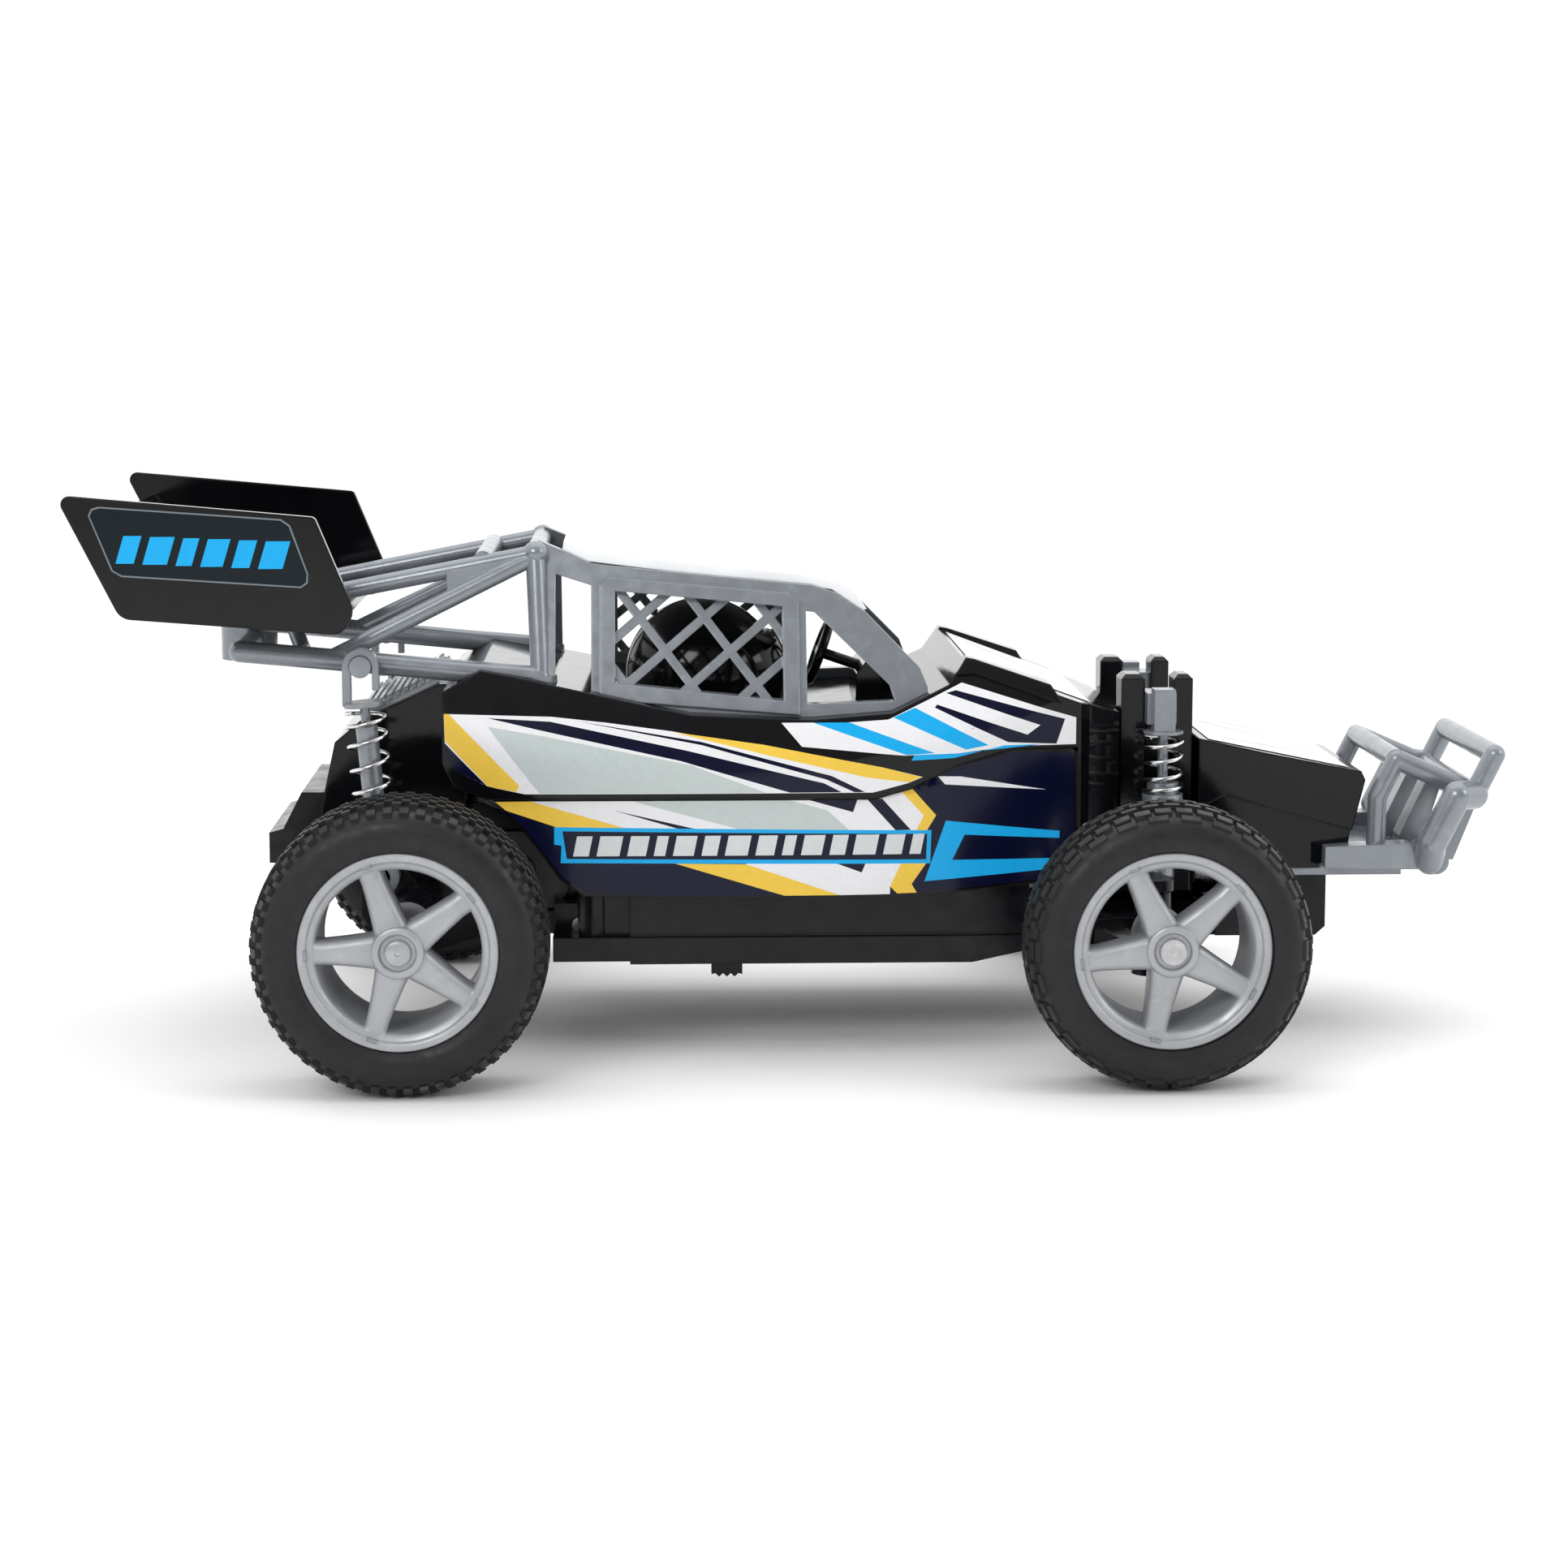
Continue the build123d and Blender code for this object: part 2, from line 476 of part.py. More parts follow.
# ---- wheels -------------------------------------------------------------------------------
def rim(centre, width, first_spoke, bore_r, hub_inner):
    """A right-hand wheel: barrel, two lips, five tapered spokes and a stepped hub."""
    inner = width - WHEEL_FACE
    lip = ring_y(centre, RIM_R, RIM_BORE_R + 0.6, -76.9, -75.3)
    back = ring_y(centre, RIM_R, RIM_BORE_R + 0.6, inner - 1.2, inner + 0.2)
    barrel = ring_y(centre, RIM_SEAT_R, RIM_BORE_R + 0.6, -76.0, inner - 0.4)
    hub = pin_y(*centre, 5.0, -76.4, hub_inner)
    spokes = []
    for k in range(5):
        angle = radians(first_spoke + 72.0 * k)
        along, across = (cos(angle), sin(angle)), (-sin(angle), cos(angle))
        corners = [(3.0, -3.05), (15.4, -1.9), (15.4, 1.9), (3.0, 3.05)]
        outline = [
            (centre[0] + r * along[0] + w * across[0], centre[1] + r * along[1] + w * across[1])
            for r, w in corners
        ]
        spokes.append(prism(outline, "Y", -76.0, -69.8))
    wheel = fuse([barrel, lip, back, hub] + spokes)
    for k in range(5):
        angle = radians(first_spoke + 72.0 * k)
        mark = Pos(centre[0] + 16.9 * cos(angle), -76.9, centre[1] + 16.9 * sin(angle))
        wheel = wheel - mark * Rot(0, -degrees(angle), 0) * Box(0.7, 0.6, 2.0)
    wheel = wheel - pin_y(*centre, bore_r, -90.0, 0.0)
    return main_solid(wheel)


def tyre(centre, outer_r, width, crown_in):
    """A right-hand tyre, seated on its rim, with rounded shoulders."""
    inner = width - WHEEL_FACE
    profile = [
        (RIM_SEAT_R, -75.3), (RIM_R + 0.1, -75.3), (RIM_R + 0.1, -76.9), (RIM_R + 2.4, -WHEEL_FACE),
        (outer_r - 3.2, -77.6), (outer_r - 1.0, -76.2), (outer_r, -73.8),
        (outer_r, inner - crown_in), (outer_r - 1.0, inner - 1.6), (outer_r - 3.2, inner - 0.3),
        (RIM_R + 0.1, inner), (RIM_R + 0.1, inner - 1.2), (RIM_SEAT_R, inner - 1.2),
    ]  # fmt: skip
    outline = Polyline([(centre[0] + r, y, centre[1]) for r, y in profile], close=True)
    return revolve(make_face(outline), Axis((centre[0], 0, centre[1]), (0, 1, 0)), 360)


# ---- rear unit ----------------------------------------------------------------------------
def gear(teeth, centre, facing, tooth_there, y_span, bore_r):
    """An involute spur gear with a tooth, or a gap, in the direction `facing` in degrees."""
    pitch_r = MODULE * teeth / 2
    base_r = pitch_r * cos(radians(20.0))
    root_r = pitch_r - 1.3 * MODULE
    tip_r = pitch_r + 0.75 * MODULE
    slack = 0.11  # thinning of each flank, so that the gears run free

    def half_angle(radius):
        pressure = acos(min(1.0, base_r / radius))
        roll = tan(radians(20.0)) - radians(20.0) - (tan(pressure) - pressure)
        return pi / (2 * teeth) - slack / pitch_r + roll

    radii = [max(base_r, root_r), pitch_r, tip_r]
    first = radians(facing) + (0.0 if tooth_there else pi / teeth)
    outline = []
    for k in range(teeth):
        middle = first + 2 * pi * k / teeth
        flank = [(root_r, half_angle(radii[0]) * 1.02)] + [(r, half_angle(r)) for r in radii]
        turned = [(r, middle - a) for r, a in flank] + [(r, middle + a) for r, a in reversed(flank)]
        outline = outline + [(centre[0] + r * cos(a), centre[1] + r * sin(a)) for r, a in turned]
    return prism(outline, "Y", *y_span) - pin_y(*centre, bore_r, -20.0, 20.0)


def bearing(start, end):
    """The direction from one x, z point to another, in degrees from +X towards +Z."""
    return degrees(atan2(end[1] - start[1], end[0] - start[0]))


def axle_gear():
    """The large gear pressed on the rear shaft."""
    return gear(AXLE_TEETH, REAR_AXLE, bearing(REAR_AXLE, IDLER), True, GEAR_Y, AXLE_R)


def idler_gear():
    """The double gear between the pinion and the axle gear."""
    bore = 1.0 + RUNNING
    small = gear(IDLER_TEETH[0], IDLER, bearing(IDLER, REAR_AXLE), False, (GEAR_Y[0], DRIVE_Y[0]), bore)
    large = gear(IDLER_TEETH[1], IDLER, bearing(IDLER, MOTOR), True, DRIVE_Y, bore)
    return small + large


def motor_pinion():
    """The small gear on the motor's shaft."""
    return gear(PINION_TEETH, MOTOR, bearing(MOTOR, IDLER), False, DRIVE_Y, 1.0)


def motor_shaft():
    """The motor's steel shaft."""
    return pin_y(*MOTOR, 1.0, 0.0, 15.2)


def drive_motor():
    """The brushed motor's can, with two flats and a boss at the shaft end."""
    can = pin_y(*MOTOR, MOTOR_R, -18.4, 5.6)
    can = can & block((-80.0, -30.0), (-20.0, 10.0), (MOTOR[1] - MOTOR_FLAT, MOTOR[1] + MOTOR_FLAT))
    can = can + pin_y(*MOTOR, 3.0, 5.0, 7.2) + pin_y(*MOTOR, 2.6, -20.0, -18.0)
    return main_solid(can - pin_y(*MOTOR, 1.0 + RUNNING, -1.0, 8.0))


CASE_OUTLINE = [
    (-80.0, 17.0), (-72.0, 17.0), (-58.0, 21.4), (-48.2, 20.0), (-48.2, 24.6), (-44.4, 29.0),
    (-44.4, 39.0), (-49.0, 42.6), (-59.0, 44.6), (-63.0, 46.6), (-71.0, 46.6), (-77.6, 42.0),
    (-86.0, 34.6), (-87.4, 30.0), (-87.4, 24.0), (-84.6, 19.4),
]  # fmt: skip
BARREL_ARM = [(-52.0, 20.6), (-44.0, 20.0), (-44.0, 26.0), (-52.0, 24.6)]
TUBE_R = 4.6
TUBE_END = 48.0
SHAFT_ROOM_R = AXLE_R + 0.5
BUSH_R = 3.0


def axle_tube():
    """The right axle tube, bored for the shaft and its bush, with the lug and pin of a shock."""
    x, z = SHOCK_FOOT
    lug_side = [(x - 3.0, z - 2.0), (x - 3.0, z + 2.8), (x + 3.0, z + 2.8), (-72.0, 28.0), (-80.0, 26.0)]
    lug = prism(lug_side, "Y", REAR_SHOCK_Y + 3.0, REAR_SHOCK_Y + 6.2)
    tube = pin_y(*REAR_AXLE, TUBE_R, -TUBE_END, -16.8) + lug + pin_y(x, z, 1.4, REAR_SHOCK_Y - 2.6, REAR_SHOCK_Y + 4.0)
    tube = tube - pin_y(*REAR_AXLE, SHAFT_ROOM_R, -60.0, 0.0)
    return main_solid(tube - pin_y(*REAR_AXLE, BUSH_R, -TUBE_END - 1.0, 4.0 - TUBE_END))


def gearbox_case():
    """The rear unit's housing: gear chamber, motor cradle, hinge barrel and right axle tube."""
    case = prism(CASE_OUTLINE, "Y", -17.0, 15.9) + prism(BARREL_ARM, "Y", -18.6, 18.6)
    case = case + pin_y(*SWING_PIVOT, 3.4, -18.6, 18.6)
    rooms = ((REAR_AXLE, 10.3), (IDLER, 10.3), (MOTOR, 4.6))
    room = fuse([pin_y(*centre, radius, 7.4, 15.9) for centre, radius in rooms])
    cradle = pin_y(*MOTOR, MOTOR_R, -30.0, 5.6)
    cradle = cradle & block((-80.0, -30.0), (-30.0, 5.6), (MOTOR[1] - MOTOR_FLAT, MOTOR[1] + MOTOR_FLAT))
    hollow = block((-84.0, -67.0), (-15.4, 5.8), (19.2, 36.0)) - pin_y(*REAR_AXLE, TUBE_R, -20.0, 20.0)
    case = case - room - cradle - hollow - pin_y(*MOTOR, 3.0, 0.0, 10.0)
    case = case - pin_y(*REAR_AXLE, SHAFT_ROOM_R, -20.0, 20.0)
    case = case - pin_y(*SWING_PIVOT, AXLE_R + RUNNING, -20.0, 20.0)
    return main_solid(case + pin_y(*IDLER, 1.0, 6.0, 15.9) + axle_tube())


def gearbox_cover():
    """The cover of the gear chamber, with the left axle tube."""
    cover = prism(CASE_OUTLINE, "Y", 15.9, 17.2) + pin_y(*IDLER, 3.0, 17.0, 18.2) + pin_y(*MOTOR, 3.0, 17.0, 18.2)
    cover = cover - pin_y(*REAR_AXLE, SHAFT_ROOM_R, 10.0, 20.0) - pin_y(*SWING_PIVOT, 3.4, 10.0, 20.0)
    cover = cover - prism(BARREL_ARM, "Y", 10.0, 20.0)
    return main_solid(cover + left_of(axle_tube()))


def axle_bushes():
    """The flanged bronze bushes in the ends of the axle tubes."""
    bush = pin_y(*REAR_AXLE, BUSH_R, -TUBE_END, 4.0 - TUBE_END) + pin_y(*REAR_AXLE, 4.2, -TUBE_END - 0.8, -TUBE_END)
    bush = bush - pin_y(*REAR_AXLE, AXLE_R + RUNNING, -60.0, 0.0)
    return group([bush, left_of(bush)])


def rear_axle_shaft():
    """The steel shaft through both rear wheels."""
    return pin_y(*REAR_AXLE, AXLE_R, -77.2, 77.2)


# ---- shock absorbers ----------------------------------------------------------------------
EYE = (SHOCK_EYE[0], REAR_SHOCK_Y, SHOCK_EYE[1])
FOOT = (SHOCK_FOOT[0], REAR_SHOCK_Y, SHOCK_FOOT[1])
REAR_SHOCK_LONG = hypot(FOOT[0] - EYE[0], FOOT[2] - EYE[2])
SHOCK_AXIS = Plane(origin=EYE, x_dir=(0, 1, 0), z_dir=(FOOT[0] - EYE[0], 0, FOOT[2] - EYE[2])).location
REAR_SPRING = (7.9, 29.4)  # distances from the eye, along the shock
FOOT_PLAY = 0.5  # radial play on the lower pin, which takes up the linkage's changing ratio


def along_shock(radius, low, high):
    """A cylinder along the right rear shock, between two distances from its eye."""
    base = (Align.CENTER, Align.CENTER, Align.MIN)
    return SHOCK_AXIS * Pos(0, 0, low) * Cylinder(radius, high - low, align=base)


def rear_shock_rod():
    """The right rear shock's hook, neck, spring seat and thin rod."""
    y_span = (REAR_SHOCK_Y - 1.6, REAR_SHOCK_Y + 1.6)
    x, z = SHOCK_EYE
    mouth = block((x - 1.9, x + 2.2), (REAR_SHOCK_Y - 3.0, REAR_SHOCK_Y + 3.0), (z - 6.0, z))
    tip = block((x + 2.2, x + 3.5), y_span, (z - 4.5, z))
    neck = block((x - 3.5, x - 1.9), y_span, (z - 7.6, z))
    hook = pin_y(*SHOCK_EYE, 3.5, *y_span) - mouth + tip + neck
    hook = hook - pin_y(*SHOCK_EYE, RACK_R + RUNNING, -60.0, 0.0)
    return main_solid(hook + along_shock(4.0, 6.8, 7.8) + along_shock(0.95, 7.0, 31.0))


def rear_shock_body():
    """The right rear shock's tube, spring cup and lower eye."""
    tube = along_shock(2.1, 11.6, REAR_SHOCK_LONG - 2.6) + along_shock(4.2, REAR_SPRING[1] + 0.1, REAR_SPRING[1] + 1.3)
    tube = tube + along_shock(2.9, REAR_SPRING[1] + 1.0, REAR_SHOCK_LONG - 5.0)
    tube = tube + pin_y(*SHOCK_FOOT, 3.6, REAR_SHOCK_Y - 2.4, REAR_SHOCK_Y + 2.4)
    return main_solid(tube - along_shock(1.15, 5.0, 35.6) - pin_y(*SHOCK_FOOT, 1.4 + FOOT_PLAY, -60.0, 0.0))


def rear_spring():
    """The right rear spring."""
    return spring(SHOCK_AXIS, *REAR_SPRING, 5.5)


FRONT_CUP = 48.0
FRONT_SPRING = (49.2, 60.9)


def front_shock_block():
    """The right front shock's upper half: a square block between the prongs, bored for the rod."""
    seat_z = FRONT_SPRING[1]
    head = block((SHOCK_X - 2.1, SHOCK_X + 2.1), (SHOCK_Y - 2.3, SHOCK_Y + 2.3), (seat_z, 69.8))
    lug = block((68.1, 73.9), (SHOCK_Y + 2.0, -14.6), (62.4, 68.6))
    seat = pin_z(SHOCK_X, SHOCK_Y, 3.9, seat_z, seat_z + 0.6)
    return main_solid(head + lug + seat - pin_z(SHOCK_X, SHOCK_Y, 1.3, seat_z - 1.0, 68.4))


def front_shock_rod():
    """The right front shock's lower half: ball foot, body, spring cup and rod."""
    foot = Pos(SHOCK_X, SHOCK_Y, 26.5) * Sphere(1.6)
    body = pin_z(SHOCK_X, SHOCK_Y, 1.5, 26.5, 32.0) + pin_z(SHOCK_X, SHOCK_Y, 2.5, 31.0, FRONT_CUP)
    cup = pin_z(SHOCK_X, SHOCK_Y, 4.0, FRONT_CUP - 0.2, FRONT_SPRING[0] - 0.1)
    collar = pin_z(SHOCK_X, SHOCK_Y, 3.1, FRONT_CUP, 51.4)
    return fuse([foot, body, cup, collar, pin_z(SHOCK_X, SHOCK_Y, 1.0, 50.0, 66.0)])


def front_spring():
    """The right front spring."""
    return spring(Pos(SHOCK_X, SHOCK_Y, 0), *FRONT_SPRING, 4.0)


# ---- roll cage, roof and driver -----------------------------------------------------------
CAGE_OUTLINE = [
    (-51.5, 69.0), (-51.5, 99.0), (-45.7, 96.6), (-40.9, 94.4), (-22.0, 92.5), (1.8, 90.3),
    (6.6, 88.8), (12.2, 85.2), (22.6, 74.6), (24.0, 71.0), (24.0, 63.0), (-51.5, 63.0),
]  # fmt: skip
CAGE_REAR_GAP = [(-48.2, 70.0), (-48.2, 92.6), (-41.2, 90.4), (-41.2, 70.0)]
CAGE_WINDOW = [(-36.6, 72.0), (-36.6, 89.4), (-4.0, 86.4), (-4.0, 68.6)]
CAGE_QUARTER = [(0.6, 67.9), (0.6, 85.4), (2.2, 85.2), (16.6, 71.4), (17.6, 68.4)]
DOOR_FRAME = [(-39.4, 69.0), (-39.4, 90.4), (-37.8, 91.9), (-2.6, 88.8), (-0.9, 87.0), (-0.9, 66.0)]
NET_NODE = (-26.8, 77.8)
NET_PITCH = 12.6
NET_ANGLES = (-52.0, 40.0)
NET_BAR = 1.7


def cage_plate(outline, outward, thick):
    """A plate in the leaning plane of the right cage side, `outward` in front of its face."""
    foot_y, foot_z = CAGE_FOOT
    points = [(x, foot_y + (z - foot_z) * CAGE_LEAN - outward, z) for x, z in outline]
    return extrude(make_face(Polyline(points, close=True)), amount=thick, dir=(0, 1, 0))


@lru_cache
def cage_side():
    """The right side of the roll cage, with the raised door frame and the window net."""
    side = cage_plate(CAGE_OUTLINE, 0.0, CAGE_THICK) + cage_plate(DOOR_FRAME, 0.9, 2.0)
    for opening in (CAGE_REAR_GAP, CAGE_WINDOW, CAGE_QUARTER):
        side = side - cage_plate(opening, 5.0, 12.0)
    frame = cage_plate(CAGE_WINDOW, 0.0, 6.0)
    for k in range(-2, 4):
        for angle in NET_ANGLES:
            u = (cos(radians(angle)), sin(radians(angle)))
            x, z = NET_NODE[0] + NET_PITCH * k, NET_NODE[1]
            ends = [(s * 40.0, w * NET_BAR / 2) for s, w in ((-1, -1), (1, -1), (1, 1), (-1, 1))]
            bar = cage_plate([(x + a * u[0] - b * u[1], z + a * u[1] + b * u[0]) for a, b in ends], -0.9, 1.4)
            side = side + (bar & frame)
    return main_solid(side - body_outer())


def roof_panel():
    """The white panel that joins the two cage sides."""
    profile = [
        (-46.6, 98.6), (-43.8, 97.2), (-30.0, 95.4), (-14.0, 93.6), (2.0, 91.9), (6.8, 91.2), (9.6, 89.4), (12.6, 85.6),
        (10.6, 84.8), (7.6, 88.2), (5.8, 89.3), (1.6, 90.0), (-14.4, 91.6), (-30.4, 93.4), (-44.4, 95.1), (-46.9, 96.6),
    ]  # fmt: skip
    panel = prism(profile, "Y", -25.0, 25.0)
    hull = prism([(-25.2, 84.0), (-19.6, 99.5), (19.6, 99.5), (25.2, 84.0)], "X", -60.0, 30.0)
    return main_solid((panel & hull) - cage_side() - left_of(cage_side()))


def driver_figure():
    """The driver's black helmet and visor on a neck block that passes through the deck."""
    dome = Pos(DRIVER_X, 0, 70.4) * Sphere(15.5)
    visor = Pos(DRIVER_X + 3.4, 0, 70.6) * Sphere(14.2)
    visor = visor & block((DRIVER_X, DRIVER_X + 20), (-12.0, 12.0), (64.0, 78.6))
    head = (dome + visor) & block((-60.0, 20.0), (-20.0, 20.0), (63.0, 90.0))
    brow = Pos(DRIVER_X + 10.4, 0, 79.2) * Rot(0, 24, 0) * Box(9.0, 19.0, 1.6)
    neck = Pos(DRIVER_X, 0, 62.0) * extrude(RectangleRounded(25.4, 23.4, 7.6), 9.0)
    return main_solid(head + brow - body_outer() + neck)


def dashboard():
    """The pod with the steering wheel, in front of the driver."""
    pod = prism([(10.9, 60.0), (11.4, 71.6), (13.6, 74.4), (16.6, 74.4), (18.2, 71.8), (18.2, 60.0)], "Y", -12.0, 12.0)
    pod = fillet(pod.edges().filter_by(Axis.Y).sort_by(Axis.Z)[-4:], 1.0)
    column = rod((12.4, 0, 72.0), (4.8, 0, 74.6), 1.1)
    wheel = Plane(origin=(4.4, 0, 74.8), z_dir=(-0.94, 0, 0.34)) * Torus(6.2, 0.9)
    spokes = Plane(origin=(4.4, 0, 74.8), z_dir=(-0.94, 0, 0.34)) * (Box(1.4, 12.2, 1.2) + Box(12.2, 1.4, 1.2))
    return main_solid(pod + column + wheel + spokes - body_outer())


# ---- rear rack and wing -------------------------------------------------------------------
RACK_FRONT = (-51.0, RACK_Y, 73.0)  # where the lower side bar, the post and its foot meet
RACK_REAR = (-108.9, RACK_Y, 78.2)
RACK_JOINT = (-52.0, -24.4, 96.6)  # the head of the post
RACK_ARM_R = 1.7


def rack_side():
    """The rack's right side: a lower bar, a post, an upper arm, a brace with its web, and the shock's pin."""
    lower = tube_path([RACK_FRONT, (-67.8, RACK_Y, 74.4), (-86.7, RACK_Y, 76.2), RACK_REAR], RACK_R)
    foot = pin_z(*RACK_FRONT[:2], 3.2, 66.0, 73.4)
    post = rod(RACK_FRONT, RACK_JOINT, 1.9) + Pos(*RACK_JOINT) * Sphere(2.4)
    arm = tube_path([RACK_JOINT, (-96.6, -24.4, 88.0)], RACK_ARM_R)
    brace = tube_path([(-53.4, -24.6, 95.4), (-90.6, RACK_Y, 77.2)], RACK_ARM_R)
    web = prism([(-69.2, 93.2), (-69.2, 88.6), (-55.0, 94.6), (-55.0, 95.6)], "Y", -26.2, -23.6)
    strut_foot = (-97.6, -22.0, 77.8)
    strut = rod(strut_foot, (-100.6, -17.0, 84.6), 1.6) + rod(strut_foot, (-97.6, RACK_Y, 77.2), 1.6)
    pin = pin_y(*SHOCK_EYE, RACK_R, REAR_SHOCK_Y - 2.2, RACK_Y)
    return fuse([lower, foot, post, arm, brace, web, strut, pin])


def rear_rack():
    """The tubular rack behind the cage, with the pins for the shocks and the wing's bracket."""
    x, y, z = RACK_REAR
    rear_bar = pin_y(x, z, 1.9, y, -y)
    top_bar = pin_y(-62.2, 95.2, 1.9, RACK_JOINT[1], -RACK_JOINT[1])
    head_bar = pin_y(RACK_JOINT[0], RACK_JOINT[2], 1.9, RACK_JOINT[1], -RACK_JOINT[1])
    bracket = pin_z(-110.4, 0, 5.6, 73.8, 86.0) + block((-110.4, -99.6), (-5.4, 5.4), (79.6, 86.0))
    whole = both_sides(rack_side()) + fuse([rear_bar, top_bar, head_bar, bracket])
    return main_solid(whole - body_outer() - cage_side() - left_of(cage_side()) - wing())


ENDPLATE = [(-141.1, 109.3), (-92.7, 105.0), (-85.5, 87.4), (-87.6, 82.7), (-129.4, 85.9)]
ENDPLATE_CORNERS = [1.6, 1.2, 4.0, 3.4, 3.4]
WING_CHORD = [(-88.6, 86.4), (-97.0, 86.6), (-108.0, 88.4), (-120.0, 92.6), (-130.4, 99.0), (-134.6, 104.4)]
BLADE_THICK = 1.9


@lru_cache
def wing():
    """The rear wing: a curved blade between two endplates, moulded as one."""
    plate = Polyline([(x, -WING_HALF_W, z) for x, z in ENDPLATE], close=True)
    plate = extrude(make_face(plate), amount=2.0, dir=(0, 1, 0))
    for (x, z), radius in zip(ENDPLATE, ENDPLATE_CORNERS):
        corner = plate.edges().filter_by(Axis.Y).sort_by_distance((x, -WING_HALF_W + 1.0, z))[0]
        plate = fillet(corner, radius)
    top = Spline([(x, 0, z) for x, z in WING_CHORD])
    under = Spline([(x, 0, z - BLADE_THICK * (1.0 - 0.4 * (k > 3))) for k, (x, z) in enumerate(WING_CHORD)])
    ends = [Line(top @ 0, under @ 0), Line(top @ 1, under @ 1)]
    blade = extrude(make_face([top, under] + ends), amount=WING_HALF_W - 1.0, dir=(0, 1, 0), both=True)
    return main_solid(both_sides(plate) + blade)


# ---- front bull bar -----------------------------------------------------------------------
def front_bumper():
    """The silver bull bar: floor arms, a leaning ladder frame, side loops and an upper hoop."""
    arm_side = [(104.0, 33.6), (104.0, 37.8), (121.0, 38.4), (126.0, 36.4), (127.0, 33.2), (112.0, 33.2)]
    arm = prism(arm_side, "Y", -24.0, -18.6)
    floor = block((96.0, 120.0), (-20.4, -15.2), (31.6, 34.0))
    loop = tube_path([(125.0, -24.0, 35.0), (124.4, -27.6, 38.8), (129.2, -27.6, 48.4), (133.6, -23.0, 48.0)], 2.9)
    upright = tube_path([(134.2, -21.8, 48.2), (137.9, -21.8, 55.8)], 2.1)
    post = prism([(132.2, 48.8), (136.0, 48.2), (130.6, 34.4), (127.0, 34.8)], "Y", -19.6, -16.2)
    panel = prism([(121.4, 34.0), (121.4, 38.0), (126.8, 49.6), (129.6, 48.4), (125.2, 34.0)], "Y", -11.6, -5.2)
    hoop_leg = tube_path([(118.6, -20.2, 54.8), (114.9, -20.4, 47.2), (114.7, -20.4, 37.0)], 1.9)
    hoop_side = rod((118.6, -20.2, 54.8), (133.4, -20.2, 48.4), 2.0)
    right = fuse([arm, floor, loop, upright, post, panel, hoop_leg, hoop_side])
    foot_bar = pin_y(126.0, 34.9, 2.6, -25.0, 25.0)
    middle_bar = pin_y(133.6, 47.8, 2.6, -23.0, 23.0)
    top_bar = pin_y(137.9, 55.8, 2.1, -21.8, 21.8)
    hoop_bar = pin_y(118.6, 54.8, 2.0, -20.2, 20.2)
    tray = block((106.0, 124.0), (-19.0, 19.0), (33.4, 35.2))
    whole = both_sides(right) + fuse([foot_bar, middle_bar, top_bar, hoop_bar, tray])
    return main_solid(whole - body_outer() - block((80.0, 106.0), (-30.0, 30.0), (10.0, 31.5)))


# ---- every node ---------------------------------------------------------------------------
def nodes():
    """Each node's name and shape."""
    single = [
        chassis_tub, body_shell, rear_grille, rear_bumper, front_bumper, front_bulkhead, arm_hinge_pins,
        swing_pivot_pin, rear_rack, roof_panel, wing, driver_figure, dashboard, steering_servo, circuit_board,
        battery_cells, battery_contacts, body_screws, battery_door, switch_knob, gearbox_case, gearbox_cover,
        drive_motor, motor_shaft, axle_bushes, rear_axle_shaft, axle_gear, idler_gear, motor_pinion, tie_rod,
        servo_horn,
    ]  # fmt: skip
    paired = [
        cage_side, front_shock_block, front_shock_rod, front_spring, rear_spring, rear_shock_rod,
        rear_shock_body, front_arm, front_knuckle, front_stub_axle,
    ]  # fmt: skip
    shapes = {make.__name__: make() for make in single}
    shapes["door_screw"] = cross_head_screw(28.8, 0, 17.0, 2.35, 1.1, 8.4)
    rights = {make.__name__: make() for make in paired}
    rights["rear_rim"] = rim(REAR_AXLE, REAR_TYRE_W, 37.0, AXLE_R, -51.0)
    rights["rear_tyre"] = tyre(REAR_AXLE, REAR_AXLE[1], REAR_TYRE_W, 4.0)
    rights["front_rim"] = rim(FRONT_AXLE, FRONT_TYRE_W, 43.5, AXLE_R + RUNNING, -56.6)
    rights["front_tyre"] = tyre(FRONT_AXLE, FRONT_AXLE[1], FRONT_TYRE_W, 3.4)
    for name, shape in rights.items():
        shapes[name + "_right"] = shape
        shapes[name + "_left"] = left_of(shape)
    return shapes


os.makedirs("parts", exist_ok=True)
for node_name, node_shape in nodes().items():
    export_step(node_shape, "parts/" + node_name + ".step")
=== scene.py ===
import json
from math import ceil, cos, floor, pi, radians, sin

import bmesh
import bpy
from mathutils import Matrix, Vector
from mathutils.bvhtree import BVHTree

